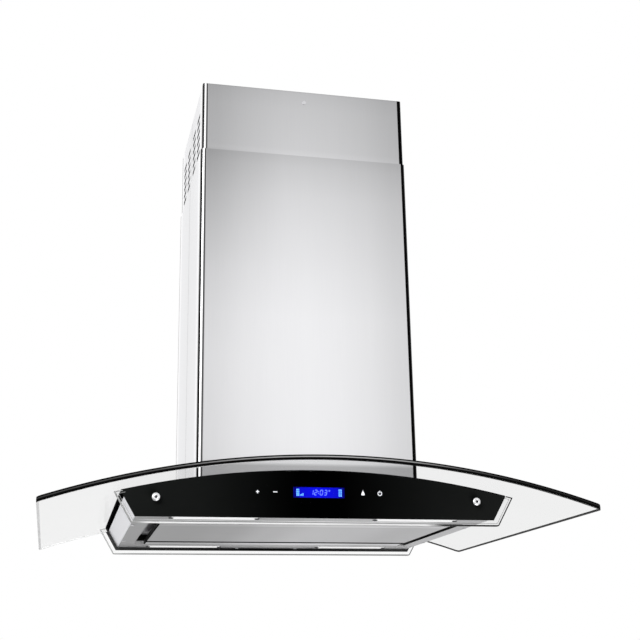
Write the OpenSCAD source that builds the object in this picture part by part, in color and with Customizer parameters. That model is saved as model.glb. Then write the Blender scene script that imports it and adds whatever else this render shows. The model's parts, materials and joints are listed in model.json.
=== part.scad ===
// Island range hood: a bent glass canopy on a slim steel body, hung from the ceiling in a two-part chimney.
// The origin is the middle of the ceiling plate's top face, +Z is up, and the control panel faces -Y.

/* [Canopy glass] */
// Width of the bent glass across the hood
canopy_w = 900; // [840:10:1000]
// Depth of the bent glass from front to back
canopy_d = 700; // [600:10:760]
// Thickness of the canopy glass
glass_t = 8; // [6:1:10]
// Radius of the bend, measured to the glass's lower face
canopy_r = 1432; // [1400:4:1700]
// Radius of the glass's corners seen from above
canopy_corner_r = 8; // [4:1:40]

/* [Body] */
// Width of the flat underside
body_w = 594; // [580:2:640]
// Depth of the steel body
body_d = 501.2; // [495:0.2:520]
// Height from the underside to the crown of the glass
body_h = 77; // [75:1:90]
// Lean of the body's sides, in degrees from upright
side_lean = 30; // [20:1:32]
// Thickness of the body's sheet steel
body_t = 1.5; // [1:0.1:2]
// Width of the opening in the underside
intake_w = 542; // [536:2:560]
// Depth of the opening in the underside
intake_d = 354; // [348:2:360]
// Height of the upstand round the opening
coaming_h = 27; // [27:1:29]

/* [End panels] */
// Thickness of the two upright glass panels
panel_t = 6; // [4:0.5:8]
// Distance that a glass panel reaches past the body's side
panel_side = 16; // [10:1:20]
// Distance that a glass panel reaches below the underside
panel_low = 12.5; // [8:0.5:16]
// Radius of a glass panel's lower corners
panel_corner_r = 4; // [2:0.5:8]
// Distance that the black print reaches past the body's side
print_side = 4; // [2:0.5:6]
// Distance that the black print reaches below the underside
print_drop = 2; // [0:0.5:4]
// Half spacing of the chrome cap screws
cap_x = 268; // [250:1:275]
// Distance from the crown of the glass down to the cap screws
cap_drop = 49; // [46:1:54]

/* [Controls] */
// Width of the display's window
display_w = 86; // [60:1:100]
// Height of the display's window
display_h = 17; // [12:1:20]
// Distance from the crown of the glass down to the row of controls
control_drop = 37; // [35:1:39]
// Offset of the controls from the middle of the panel
control_x = -2; // [-10:1:10]
// Distances of the touch keys from the middle of the controls
key_x = [-102, -75, 74, 102];

/* [Chimney] */
// Width of the lower cover
cover_w = 388; // [384:1:400]
// Depth of the lower cover
cover_d = 346; // [342:1:356]
// Thickness of the covers' sheet steel
cover_t = 1; // [0.8:0.1:1.2]
// Gap between the lower cover and the upper cover inside it
cover_gap = 1; // [0.6:0.1:1.5]
// Outer corner radius of the lower cover
cover_r = 6; // [4:0.5:10]
// Distance from the ceiling to the crown of the canopy glass's lower face
hood_drop = 736; // [720:2:800]
// Distance from the ceiling to the lower cover's top edge
lower_top = 134; // [130:1:150]
// Length of the upper cover
upper_len = 480; // [460:5:520]
// Distance from the ceiling to the upper cover's screws
cover_screw_drop = 22; // [18:1:26]

/* [Vents] */
// Length of one vent slot
vent_l = 40; // [30:1:46]
// Height of one vent slot
vent_h = 7.5; // [3:0.5:10]
// Height from one row of slots to the next
vent_pitch = 15; // [12:0.5:15]
// Rows of slots
vent_rows = 6; // [3:1:6]
// Distance from the ceiling to the middle of the first row
vent_drop = 46; // [44:1:50]
// Places of the columns of slots, from the middle of the side
vent_y = [-110, -42.5, 42.5, 110];

/* [Ceiling mount] */
// Thickness of the ceiling plate
plate_t = 3; // [2:0.5:5]
// Spacing of the ceiling bolts across the hood
bolt_w = 300; // [280:2:300]
// Spacing of the ceiling bolts from front to back
bolt_d = 170; // [150:2:180]
// Radius of a ceiling bolt hole
bolt_hole_r = 4.5; // [4:0.25:5]
// Radius of the ceiling plate's duct opening
duct_opening_r = 120; // [112:1:122]
// Radius of the ceiling plate's cable hole
cable_hole_r = 10; // [6:1:12]
// Width of a post's leg
post_w = 25; // [22:1:28]
// Thickness of a post
post_t = 2; // [1.5:0.1:2.4]
// Gap between the upper posts and the lower posts that slide in them
post_gap = 0.3; // [0.2:0.05:0.5]
// Most that the hood is lowered from its place here
travel_down = 250; // [100:10:250]
// Most that the hood is raised from its place here
travel_up = 40; // [20:5:40]

/* [Suction panel] */
// Gap at the left and right of the suction panel
panel_gap_x = 17; // [15:0.5:20]
// Gap in front of and behind the suction panel
panel_gap_y = 19; // [18:0.5:20]
// Distance that the suction panel hangs below the underside
panel_step = 2; // [1.5:0.25:3]
// Height of the suction panel's folded rim
rim_h = 8; // [6:0.5:8]

/* [Lamps] */
// Length of a lamp's lens
lamp_l = 140; // [120:2:150]
// Width of a lamp's lens
lamp_w = 32; // [24:1:36]
// Half spacing of the lamps across the hood
lamp_x = 170; // [150:2:180]
// Half spacing of the lamps from front to back
lamp_y = 222; // [216:1:224]

/* [Blower] */
// Height of the motor box
box_h = 286; // [280:2:300]
// Width of the motor box
box_w = 290; // [280:2:292]
// Inner radius of the scroll at its tongue
scroll_r = 92; // [88:1:94]
// Growth of the scroll's radius in each quarter turn
scroll_step = 10; // [8:0.5:10]
// Radius of the fan wheel
wheel_r = 84; // [78:1:84]
// Width of the fan wheel
wheel_w = 110; // [90:2:112]
// Blades of the fan wheel
blades = 36; // [24:1:40]
// Outer radius of the duct collar
collar_r = 75; // [60:1:76]
// Height of the duct collar
collar_h = 75; // [72:1:80]

/* [Hidden] */
$fn = 64;

// Finishes
steel = [0.74, 0.74, 0.75];
zinc = [0.66, 0.68, 0.7];
clear = [0.82, 0.88, 0.88, 0.45];
black = [0.05, 0.05, 0.06];
rubber = [0.1, 0.1, 0.1];
chrome = [0.85, 0.86, 0.88];

// Clearances shared by the pieces that fit together
seam = 0.4;
cover_fit = 0.3;
hole_gap = 0.1;
running_gap = 0.05;
slide_gap = 0.3;
cut = 1;

// Screws: radius of the shank, then radius and height of the head
m4 = [2, 3.6, 2.2];
m6 = [3, 5, 4];

// Bend of the canopy: the axis of every curved layer, and how far below the crown bent pieces start
gasket_t = 2;
sheet_drop = 120;
skirt = 20;
arc_fn = 720;
glass_z = -hood_drop;
arc_z = glass_z - canopy_r;
glass_top_r = canopy_r + glass_t;
ring_r = glass_top_r + gasket_t;
ring_t = 3;
deck_r = canopy_r - gasket_t;

// Body
frame_z = glass_z - body_h;
shell_low = frame_z + body_t;
body_y = body_d / 2;
flange_w = 8;
panel_bottom = frame_z - panel_low;
print_t = 0.4;
print_y = body_y + print_t;
panel_y = print_y + panel_t;
panel_top_gap = 1.9;
cap_z = glass_z - cap_drop;
cap_shank_r = 3;
cap_hole_r = 4;

// Controls behind the front glass
control_z = glass_z - control_drop;
key_pad_r = 5;
board_x = max(key_x) + 12;
board_low = control_z - 13;
board_high = control_z + 12;
board_y = -body_y + 6;
board_t = 1.6;
board_gap = 2;
board_cover_t = 2;
board_cover_x = board_x + 4 * board_gap;
board_cover_d = 16;
window_fit = 0.2;

// Intake, filters and suction panel
intake_x = intake_w / 2;
intake_y = intake_d / 2;
filter_z = frame_z + 17;
filter_h = 9;
filter_rail = 12;
filter_fit = 0.5;
ledge_w = 8;
filter_mid_x = intake_x / 2;
suction_x = intake_x - panel_gap_x;
suction_y = intake_y - panel_gap_y;
suction_z = frame_z - panel_step;
rim_z = suction_z + rim_h;
corner_gap = 0.3;
pan_t = 1.2;
hinge_x = 180;
hinge_y = suction_y + 10;
hinge_z = suction_z + 10;
pin_r = 2;
eye_r = 4.5;
arm_t = 3;
cheek_t = 2;
cheek_gap = 0.5;

// Sliding latch of a filter
latch_w = 20;
latch_t = 3;
latch_z = filter_z + 3;
latch_reach = 4;
latch_travel = 5;
latch_block_w = 40;
latch_block_d = 33;
latch_end_y = -intake_y + 25;
latch_front_y = -intake_y - latch_reach;
tab_y = latch_end_y - 4;
tab_t = 3;
tab_drop = 5;

// Chimney covers
upper_w = cover_w - 2 * (cover_t + cover_gap);
upper_d = cover_d - 2 * (cover_t + cover_gap);
upper_r = cover_r - cover_t - cover_gap;
joiner_w = 40;
joiner_t = 1.2;

// Posts
plate_x = upper_w / 2 - cover_t - cover_fit;
plate_y = upper_d / 2 - cover_t - cover_fit;
lip_h = 35;
lip_t = 2;
upper_post_x = upper_w / 2 - 10;
upper_post_y = upper_d / 2 - 10;
lower_post_x = upper_post_x - post_t - post_gap;
lower_post_y = upper_post_y - post_t - post_gap;
upper_post_end = glass_z + 173;
lower_post_end = -210;
foot_w = 30;
foot_t = 3;
foot_bolt_inset = 20;
height_bolt_z = [lower_post_end - 20, lower_post_end - 70];
foot_bolt_z = [glass_z + 48, glass_z + 32];
slot_r = 3.5;
stand_x = lower_post_x - post_t;
stand_y = lower_post_y - post_t;
stand_t = 2;
stand_top = glass_z + 62;
ring_x = cover_w / 2 - cover_t - 3;
ring_y = cover_d / 2 - cover_t - 3;
cutout_x = box_w / 2 + 5;
cutout_y = stand_y + 1.3;
cutout_r = 10;
bush_r = 6;
ring_bolt_x = cutout_x + 20;
ring_bolt_y = 85;

// Motor box and blower
wall_t = 1.2;
box_x = box_w / 2;
box_y = stand_y - stand_t;
box_top = glass_z + box_h - 2;
box_sill = 50;
deck_x = box_x - 10;
deck_y = box_y - 10;
lip_w = 12;
duct_y = 18;
tongue_x = 14;
fan_y = duct_y - (tongue_x + scroll_r + 3 * scroll_step) / 2;
fan_drop = 148;
fan_z = box_top - fan_drop;
outlet_low = fan_z + 60;
side_x0 = 60;
inlet_r = 62;
motor_r = 42;
motor_l = 66;
motor_x = -(box_x - 21);
shaft_r = 4;
hub_r = 12;
hub_l = 24;
collar_z = box_top + 2;
collar_t = 1.5;
collar_base_x = collar_r + 15;
flap_z = collar_z + 8;
flap_r = collar_r - collar_t - 0.7;
flap_axis = 4.5;
flap_pin_r = 1.5;
flap_tube_r = 3;
flap_t = 1.5;

// Electrical pieces
control_y = 80;
control_low = glass_z + 36;
control_high = control_low + 120;
control_depth = 31;
control_wall = 2;
board_face_x = -box_x - control_wall;
cable_y = -60;
cable_z = control_low + 12;
cable_x = box_x + 15;
cable_r = 3;
gland_r = 7;
harness_x = control_x - board_cover_x + cable_r + board_gap;
harness_z = glass_z - 14;
drop_x = max(harness_x, -deck_x + cable_r + 1);

// ---------------------------------------------------------------- helpers

// Block between two opposite corners
module block(low, high) {
    translate(low) cube(high - low);
}

// Rectangle with round corners, centred
module rounded_rect(w, d, r) {
    square([w - 2 * r, d], center = true);
    square([w, d - 2 * r], center = true);
    for (sx = [-1, 1], sy = [-1, 1])
        translate([sx * (w / 2 - r), sy * (d / 2 - r)]) circle(r = r);
}

// Everything inside one radius of the canopy's bend
module bend(r) {
    translate([0, canopy_d, arc_z]) rotate([90, 0, 0]) cylinder(r = r, h = 2 * canopy_d, $fn = arc_fn);
}

// Bent sheet between two radii of the canopy's bend, cut to the outline given as a child
module bent_sheet(inner, outer) {
    intersection() {
        translate([0, 0, glass_z - sheet_drop]) linear_extrude(sheet_drop + 2 * skirt) children();
        difference() {
            bend(outer);
            bend(inner);
        }
    }
}

// Places its children on the bend at radius r, where the surface is x from the middle
module on_bend(x, y, r) {
    translate([0, y, arc_z]) rotate([0, asin(x / r), 0]) translate([0, 0, r]) children();
}

// Upright slab between two y values, from an outline drawn in x and z
module upright(y0, y1) {
    translate([0, y1, 0]) rotate([90, 0, 0]) linear_extrude(y1 - y0) children();
}

// Half width of the body at height z
function side_x(z) = body_w / 2 + (z - frame_z) * tan(side_lean);

// Outline of the body seen from the front: leaning sides under the bend
module end_outline(grow, low, top_r, corner = 0) {
    x_low = side_x(low) + grow;
    x_high = side_x(glass_z) + grow;
    k = corner * tan(45 - side_lean / 2);
    intersection() {
        translate([0, arc_z]) circle(r = top_r, $fn = arc_fn);
        union() {
            difference() {
                polygon([[-x_low, low], [x_low, low], [x_high, glass_z], [-x_high, glass_z]]);
                if (corner > 0)
                    for (s = [-1, 1])
                        polygon([
                            [s * x_low, low - cut], [s * (x_low - k), low - cut],
                            [s * (x_low - k), low + corner],
                            [s * (x_low + k * sin(side_lean)), low + k * cos(side_lean)],
                            [s * (x_low + cut), low]
                        ]);
            }
            if (corner > 0)
                for (s = [-1, 1]) translate([s * (x_low - k), low + corner]) circle(r = corner);
        }
    }
}

// Screw whose head rests on the plane z = 0, with its shank going down
module screw(size, length) {
    cylinder(r = size[1], h = size[2]);
    translate([0, 0, -length]) cylinder(r = size[0], h = length + size[2] / 2);
}

// Copies its children to the four corners of a rectangle
module corners(x, y) {
    for (sx = [-1, 1], sy = [-1, 1]) translate([sx * x, sy * y, 0]) children();
}

// Copies its children mirrored to all four quarters
module quarters() {
    for (sx = [0, 1], sy = [0, 1]) mirror([sx, 0, 0]) mirror([0, sy, 0]) children();
}

// Copies its children to both sides
module both_sides() {
    for (sx = [0, 1]) mirror([sx, 0, 0]) children();
}

// ---------------------------------------------------------------- ceiling mount

module ceiling_plate() {
    color(zinc) difference() {
        union() {
            translate([0, 0, -plate_t]) linear_extrude(plate_t)
                rounded_rect(2 * plate_x, 2 * plate_y, upper_r);
            translate([0, 0, -lip_h]) linear_extrude(lip_h - plate_t / 2) difference() {
                rounded_rect(2 * plate_x, 2 * plate_y, upper_r);
                rounded_rect(2 * (plate_x - lip_t), 2 * (plate_y - lip_t), upper_r - lip_t / 2);
            }
        }
        translate([0, 0, -plate_t - cut]) cylinder(r = duct_opening_r, h = plate_t + 2 * cut);
        corners(bolt_w / 2, bolt_d / 2) translate([0, 0, -plate_t - cut])
            cylinder(r = bolt_hole_r, h = plate_t + 2 * cut);
        translate([-cable_x, 0, -plate_t - cut]) cylinder(r = cable_hole_r, h = plate_t + 2 * cut);
        corners(upper_post_x - foot_bolt_inset, upper_post_y - foot_bolt_inset)
            translate([0, 0, -plate_t - cut]) cylinder(r = m6[0] + hole_gap, h = plate_t + 2 * cut);
        for (s = [-1, 1])
            translate([0, s * plate_y, -cover_screw_drop]) rotate([90, 0, 0])
                cylinder(r = m4[0] + running_gap, h = 4 * lip_t, center = true);
    }
}

module upper_posts() {
    color(zinc) quarters() difference() {
        union() {
            block([upper_post_x - post_t, upper_post_y - post_w, upper_post_end],
                [upper_post_x, upper_post_y, -plate_t]);
            block([upper_post_x - post_w, upper_post_y - post_t, upper_post_end],
                [upper_post_x, upper_post_y, -plate_t]);
            block([upper_post_x - foot_w, upper_post_y - foot_w, -plate_t - foot_t],
                [upper_post_x, upper_post_y, -plate_t]);
        }
        translate([upper_post_x - foot_bolt_inset, upper_post_y - foot_bolt_inset, -plate_t - foot_t - cut])
            cylinder(r = m6[0] + hole_gap, h = foot_t + 2 * cut);
        height_slot();
    }
}

// Long slot in an upper post, in which the height bolts slide
module height_slot() {
    low = min(height_bolt_z) - travel_down;
    high = max(height_bolt_z) + travel_up;
    x = lower_post_x - post_w / 2;
    block([x - slot_r, upper_post_y - post_t - cut, low], [x + slot_r, upper_post_y + cut, high]);
    for (z = [low, high]) translate([x, upper_post_y - post_t / 2, z]) rotate([90, 0, 0])
        cylinder(r = slot_r, h = 2 * post_t, center = true);
}

module post_bolts() {
    color(chrome) corners(upper_post_x - foot_bolt_inset, upper_post_y - foot_bolt_inset)
        translate([0, 0, -plate_t - foot_t]) mirror([0, 0, 1]) screw(m6, plate_t + foot_t - 0.2);
}

// Half of a cover: its wall from the seam to the front
module half_cover(w, d, r, low, high) {
    translate([0, 0, low]) linear_extrude(high - low) intersection() {
        difference() {
            rounded_rect(w, d, r);
            rounded_rect(w - 2 * cover_t, d - 2 * cover_t, r - cover_t);
        }
        translate([-w, -d]) square([2 * w, d - seam / 2]);
    }
}

module upper_half() {
    difference() {
        half_cover(upper_w, upper_d, upper_r, -upper_len, 0);
        for (y = vent_y, row = [0 : vent_rows - 1])
            translate([0, y, -vent_drop - row * vent_pitch])
                cube([2 * upper_w, vent_l, vent_h], center = true);
        translate([0, -upper_d / 2, -cover_screw_drop]) rotate([90, 0, 0])
            cylinder(r = m4[0] + hole_gap, h = 4 * cover_t, center = true);
    }
}

module upper_cover_front() {
    color(steel) upper_half();
}

module upper_cover_rear() {
    color(steel) mirror([0, 1, 0]) upper_half();
}

// Plates that bridge the side seams from inside
module joiners(w, low, high) {
    both_sides() block([w / 2 - cover_t - joiner_t, -joiner_w / 2, low],
        [w / 2 - cover_t, joiner_w / 2, high]);
}

module upper_cover_joiners() {
    color(zinc) joiners(upper_w, -upper_len + 5, -upper_len + 305);
}

module upper_cover_screws() {
    color(chrome) for (s = [0, 1]) mirror([0, s, 0])
        translate([0, -upper_d / 2, -cover_screw_drop]) rotate([90, 0, 0])
            screw([m4[0], m4[1], cover_gap - 0.2], 6);
}

// ---------------------------------------------------------------- hood frame

module lower_posts() {
    color(zinc) difference() {
        quarters() difference() {
            union() {
                block([lower_post_x - post_t, lower_post_y - post_w, glass_z - skirt],
                    [lower_post_x, lower_post_y, lower_post_end]);
                block([lower_post_x - post_w, lower_post_y - post_t, glass_z - skirt],
                    [lower_post_x, lower_post_y, lower_post_end]);
            }
            for (z = concat(height_bolt_z, foot_bolt_z))
                translate([lower_post_x - post_w / 2, lower_post_y, z]) rotate([90, 0, 0])
                    cylinder(r = m6[0] + hole_gap, h = 4 * post_t, center = true);
        }
        bend(ring_r + ring_t);
    }
}

// Bolts through the posts: two high ones in the slots, two low ones into the bracket ring
module height_bolts() {
    washer_t = 1;
    color(chrome) quarters() {
        for (z = height_bolt_z) translate([lower_post_x - post_w / 2, 0, z]) {
            translate([0, upper_post_y + slide_gap, 0]) rotate([-90, 0, 0]) screw(m6, 12);
            translate([0, stand_y, 0]) rotate([90, 0, 0]) nut();
        }
        for (z = foot_bolt_z) translate([lower_post_x - post_w / 2, lower_post_y, z]) rotate([-90, 0, 0])
            screw(m6, post_t + stand_t);
    }
}

// Hexagon nut that rests on the plane z = 0, bored for its bolt
module nut() {
    difference() {
        cylinder(r = 5.8, h = 4.5, $fn = 6);
        translate([0, 0, -cut]) cylinder(r = m6[0] + running_gap, h = 7);
    }
}

module bracket_ring() {
    color(zinc) difference() {
        union() {
            bent_sheet(ring_r, ring_r + ring_t) difference() {
                rounded_rect(2 * ring_x, 2 * ring_y, 4);
                square([2 * box_x, 2 * box_y], center = true);
            }
            for (s = [0, 1]) mirror([0, s, 0]) difference() {
                block([-stand_x, box_y, glass_z - skirt], [stand_x, stand_y, stand_top]);
                bend(ring_r + ring_t / 2);
            }
        }
        for (sx = [-1, 1], z = foot_bolt_z) translate([sx * (lower_post_x - post_w / 2), 0, z])
            rotate([90, 0, 0]) cylinder(r = m6[0] + running_gap, h = cover_d, center = true);
        ring_bolt_holes(m6[0] + hole_gap);
        box_screw_holes();
    }
}

// Places of the bolts that clamp the glass
module ring_bolt_places() {
    for (sx = [-1, 1], sy = [-1, 0, 1]) on_bend(sx * ring_bolt_x, sy * ring_bolt_y, ring_r + ring_t)
        children();
}

module ring_bolt_holes(r) {
    ring_bolt_places() translate([0, 0, -30]) cylinder(r = r, h = 40);
}

module ring_gasket() {
    color(rubber) difference() {
        bent_sheet(glass_top_r, ring_r) difference() {
            rounded_rect(2 * ring_x, 2 * ring_y, 4);
            rounded_rect(2 * cutout_x, 2 * cutout_y, cutout_r);
        }
        ring_bolt_holes(m6[0] + hole_gap);
    }
}

module ring_bolts() {
    stack = ring_t + 2 * gasket_t + glass_t + body_t;
    color(chrome) ring_bolt_places() {
        screw(m6, stack + 6);
        translate([0, 0, -stack]) mirror([0, 0, 1]) nut();
    }
}

module canopy_glass() {
    color(clear) difference() {
        bent_sheet(canopy_r, glass_top_r) difference() {
            rounded_rect(canopy_w, canopy_d, canopy_corner_r);
            rounded_rect(2 * cutout_x, 2 * cutout_y, cutout_r);
        }
        ring_bolt_holes(bush_r);
    }
}

module canopy_gasket() {
    strip = 14;
    lip = 3;
    collar = 36;
    edge_x = side_x(glass_z - 38) + lip;
    color(rubber) difference() {
        bent_sheet(deck_r, canopy_r) {
            difference() {
                square([2 * edge_x, body_d], center = true);
                square([2 * (edge_x - strip), body_d - 2 * strip], center = true);
            }
            difference() {
                rounded_rect(2 * (cutout_x + collar), 2 * (cutout_y + collar), cutout_r);
                rounded_rect(2 * cutout_x, 2 * cutout_y, cutout_r);
            }
        }
        ring_bolt_holes(m6[0] + hole_gap);
    }
}

// ---------------------------------------------------------------- body

module hood_shell() {
    wall = body_t / cos(side_lean);
    color(steel) difference() {
        union() {
            upright(-body_y, body_y) difference() {
                end_outline(0, shell_low, deck_r);
                end_outline(-wall, shell_low - cut, deck_r - body_t);
            }
            for (s = [0, 1]) mirror([0, s, 0]) upright(-body_y, -body_y + body_t)
                end_outline(-wall / 2, shell_low, deck_r - body_t / 2);
            difference() {
                block([-side_x(shell_low), -body_y, shell_low],
                    [side_x(shell_low), body_y, shell_low + body_t]);
                block([-side_x(shell_low) + flange_w, -body_y + flange_w, shell_low - cut],
                    [side_x(shell_low) - flange_w, body_y - flange_w, shell_low + 2 * body_t]);
            }
        }
        block([-deck_x, -deck_y, glass_z - skirt], [deck_x, deck_y, glass_z + cut]);
        board_window();
        cap_holes(cap_shank_r + hole_gap);
        ring_bolt_holes(m6[0] + running_gap);
        frame_screw_holes();
    }
}

// Window in the body's front wall, behind the touch keys
module board_window() {
    block([control_x - board_x - 2 * board_gap, -body_y - cut, board_low - board_gap],
        [control_x + board_x + 2 * board_gap, -body_y + 2 * body_t, board_high + board_gap]);
}

module cap_holes(r) {
    for (s = [-1, 1]) translate([s * cap_x, 0, cap_z]) rotate([90, 0, 0])
        cylinder(r = r, h = canopy_d, center = true);
}

// Places of the screws that hold the underside to the shell
module frame_screw_places() {
    corners(side_x(shell_low) - flange_w / 2, 120) children();
    corners(60, body_y - flange_w / 2) children();
}

module frame_screw_holes() {
    frame_screw_places() translate([0, 0, frame_z - cut]) cylinder(r = m4[0] + running_gap, h = 8);
}

// Places of the screws that hold the motor box to the bracket ring
module box_screw_places() {
    for (s = [0, 1]) mirror([0, s, 0]) for (x = [-90, 90])
        translate([x, -stand_y, glass_z + 44]) rotate([90, 0, 0]) children();
}

module box_screw_holes() {
    box_screw_places() translate([0, 0, -10]) cylinder(r = m4[0] + running_gap, h = 20);
}

module small_screws() {
    color(chrome) {
        frame_screw_places() translate([0, 0, frame_z]) mirror([0, 0, 1]) screw([m4[0], m4[1], 1], 7);
        box_screw_places() screw(m4, 6);
    }
}

module bottom_frame() {
    wall = body_t;
    color(steel) difference() {
        union() {
            difference() {
                block([-body_w / 2, -body_y, frame_z], [body_w / 2, body_y, shell_low]);
                block([-intake_x, -intake_y, frame_z - cut], [intake_x, intake_y, shell_low + cut]);
            }
            difference() {
                block([-intake_x - wall, -intake_y - wall, frame_z],
                    [intake_x + wall, intake_y + wall, frame_z + coaming_h]);
                block([-intake_x, -intake_y, frame_z - cut], [intake_x, intake_y, frame_z + coaming_h + cut]);
            }
            difference() {
                block([-intake_x - wall / 2, -intake_y - wall / 2, filter_z - wall],
                    [intake_x + wall / 2, intake_y + wall / 2, filter_z]);
                block([-intake_x + ledge_w, -intake_y + ledge_w, filter_z - 2 * wall],
                    [intake_x - ledge_w, intake_y - ledge_w, filter_z + cut]);
            }
        }
        corners(lamp_x, lamp_y) translate([0, 0, frame_z])
            cube([lamp_l + 0.6, lamp_w + 0.6, 4 * body_t], center = true);
        for (s = [-1, 1]) block([s * filter_mid_x - latch_w / 2 - slide_gap, -intake_y - 2 * wall,
            latch_z - slide_gap], [s * filter_mid_x + latch_w / 2 + slide_gap, -intake_y + cut,
            latch_z + latch_t + slide_gap]);
        frame_screw_holes();
    }
}

module end_glass() {
    color(clear) difference() {
        upright(-panel_y, -print_y) end_outline(panel_side, panel_bottom, canopy_r - panel_top_gap,
            panel_corner_r);
        cap_holes(cap_hole_r);
    }
}

module front_glass() {
    end_glass();
}

module rear_glass() {
    mirror([0, 1, 0]) end_glass();
}

module end_print() {
    color(black) difference() {
        upright(-print_y, -body_y) end_outline(print_side, frame_z - print_drop, canopy_r - panel_top_gap);
        cap_holes(cap_hole_r);
        children();
    }
}

module front_print() {
    end_print() block([control_x - display_w / 2, -print_y - cut, control_z - display_h / 2],
        [control_x + display_w / 2, -body_y + cut, control_z + display_h / 2]);
}

module rear_print() {
    mirror([0, 1, 0]) end_print();
}

// Chrome caps on the glass, each with a neck through the glass and a nut inside the body
module glass_cap_screws() {
    cap_r = 7;
    cap_h = 4;
    color(chrome) for (s = [0, 1], x = [-cap_x, cap_x]) mirror([0, s, 0]) translate([x, -panel_y, cap_z])
        rotate([90, 0, 0]) {
            difference() {
                union() {
                    cylinder(r = cap_r, h = cap_h - 1);
                    translate([0, 0, cap_h - 1]) cylinder(r1 = cap_r, r2 = cap_r - 1, h = 1);
                    translate([0, 0, -panel_t - print_t - body_t - 5]) cylinder(r = cap_shank_r, h = 20);
                }
                translate([0, 0, cap_h - 1.5]) cylinder(r = 1.6, h = 20);
            }
            translate([0, 0, -panel_t - print_t - body_t - 4]) difference() {
                cylinder(r = 6, h = 4);
                translate([0, 0, -cut]) cylinder(r = cap_shank_r + running_gap, h = 6);
            }
        }
}

// ---------------------------------------------------------------- controls

module display_module() {
    x = display_w / 2 - window_fit;
    z = display_h / 2 - window_fit;
    frame_x = display_w / 2 + 4;
    frame_half = display_h / 2 + 2;
    color([0.05, 0.05, 0.75]) {
        block([control_x - x, -print_y, control_z - z], [control_x + x, -body_y + cut, control_z + z]);
        block([control_x - frame_x, -body_y, control_z - frame_half],
            [control_x + frame_x, board_y, control_z + frame_half]);
    }
}

module touch_board() {
    color([0.08, 0.35, 0.18]) {
        block([control_x - board_x, board_y, board_low],
            [control_x + board_x, board_y + board_t, board_high]);
        for (x = key_x) translate([control_x + x, board_y + board_t / 2, control_z]) rotate([90, 0, 0])
            cylinder(r = key_pad_r, h = board_y + board_t / 2 + body_y);
    }
}

// Plastic back that carries the board against the body's front wall
module board_cover() {
    y = -body_y + body_t;
    back = y + board_cover_d - board_cover_t;
    outer_x = board_cover_x + board_cover_t;
    low = board_low - 3;
    high = board_high + board_gap;
    rib = 3;
    color([0.2, 0.2, 0.22]) {
        difference() {
            block([control_x - outer_x, y, low - board_cover_t],
                [control_x + outer_x, y + board_cover_d, high + board_cover_t]);
            block([control_x - board_cover_x, y - cut, low], [control_x + board_cover_x, back, high]);
            translate([harness_x, y + board_cover_d / 2, high - cut])
                cylinder(r = cable_r + hole_gap, h = board_cover_t + 2 * cut);
        }
        for (x = [-board_x + 4, 0, board_x - 4])
            block([control_x + x - rib, board_y + board_t, control_z - rib],
                [control_x + x + rib, back + board_cover_t / 4, control_z + rib]);
    }
}

// ---------------------------------------------------------------- lamps

module lamp_lenses() {
    color([0.97, 0.97, 0.95]) corners(lamp_x, lamp_y) {
        translate([0, 0, frame_z + body_t / 2]) cube([lamp_l, lamp_w, body_t], center = true);
        translate([0, 0, shell_low + body_t / 2]) cube([lamp_l + 6, lamp_w + 4, body_t], center = true);
    }
}

module lamp_housings() {
    height = 14;
    color(zinc) corners(lamp_x, lamp_y) translate([0, 0, shell_low]) difference() {
        translate([0, 0, height / 2]) cube([lamp_l + 10, lamp_w + 8, height], center = true);
        translate([0, 0, height / 2 - body_t]) cube([lamp_l + 7, lamp_w + 5, height], center = true);
    }
}

// ---------------------------------------------------------------- grease filters

filter_x0 = filter_fit / 2;
filter_x1 = intake_x - filter_fit;
filter_y1 = intake_y - filter_fit;

module filter_frame() {
    x = filter_mid_x;
    top = filter_z + filter_h;
    color(zinc) difference() {
        union() {
            difference() {
                block([filter_x0, -filter_y1, filter_z], [filter_x1, filter_y1, top]);
                block([filter_x0 + filter_rail, -filter_y1 + filter_rail, filter_z - cut],
                    [filter_x1 - filter_rail, filter_y1 - filter_rail, top + cut]);
            }
            block([x - latch_block_w / 2, -filter_y1, filter_z],
                [x + latch_block_w / 2, -filter_y1 + latch_block_d, top]);
        }
        block([x - latch_w / 2 - slide_gap, -filter_y1 - cut, latch_z - slide_gap],
            [x + latch_w / 2 + slide_gap, latch_end_y + latch_travel + 1, latch_z + latch_t + slide_gap]);
        block([x - latch_w / 2 - slide_gap, tab_y - 1, filter_z - cut],
            [x + latch_w / 2 + slide_gap, latch_end_y + latch_travel + 1, latch_z]);
    }
}

module filter_frame_right() {
    filter_frame();
}

module filter_frame_left() {
    mirror([1, 0, 0]) filter_frame();
}

// Layered aluminium mesh, as one pad with rows of openings
module filter_mesh() {
    pad = 1.5;
    hole_l = 26;
    hole_w = 5;
    low_x = filter_x0 + filter_rail;
    high_x = filter_x1 - filter_rail;
    low_y = -filter_y1 + filter_rail;
    high_y = filter_y1 - filter_rail;
    color([0.7, 0.71, 0.73]) difference() {
        block([low_x, low_y, filter_z + pad], [high_x, high_y, filter_z + filter_h - pad]);
        block([filter_mid_x - latch_block_w / 2, low_y - cut, filter_z],
            [filter_mid_x + latch_block_w / 2, -filter_y1 + latch_block_d, filter_z + filter_h]);
        for (x = [low_x + 20 : 33 : high_x - 20], y = [-intake_y + 50 : 12 : high_y - 10])
            translate([x, y, filter_z + filter_h / 2]) cube([hole_l, hole_w, 2 * filter_h], center = true);
    }
}

module filter_mesh_right() {
    filter_mesh();
}

module filter_mesh_left() {
    mirror([1, 0, 0]) filter_mesh();
}

module filter_latch() {
    x = filter_mid_x;
    color(chrome) {
        block([x - latch_w / 2, latch_front_y, latch_z], [x + latch_w / 2, latch_end_y, latch_z + latch_t]);
        block([x - latch_w / 2, tab_y, filter_z - tab_drop],
            [x + latch_w / 2, tab_y + tab_t, latch_z + latch_t / 2]);
    }
}

module filter_latch_right() {
    filter_latch();
}

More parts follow.
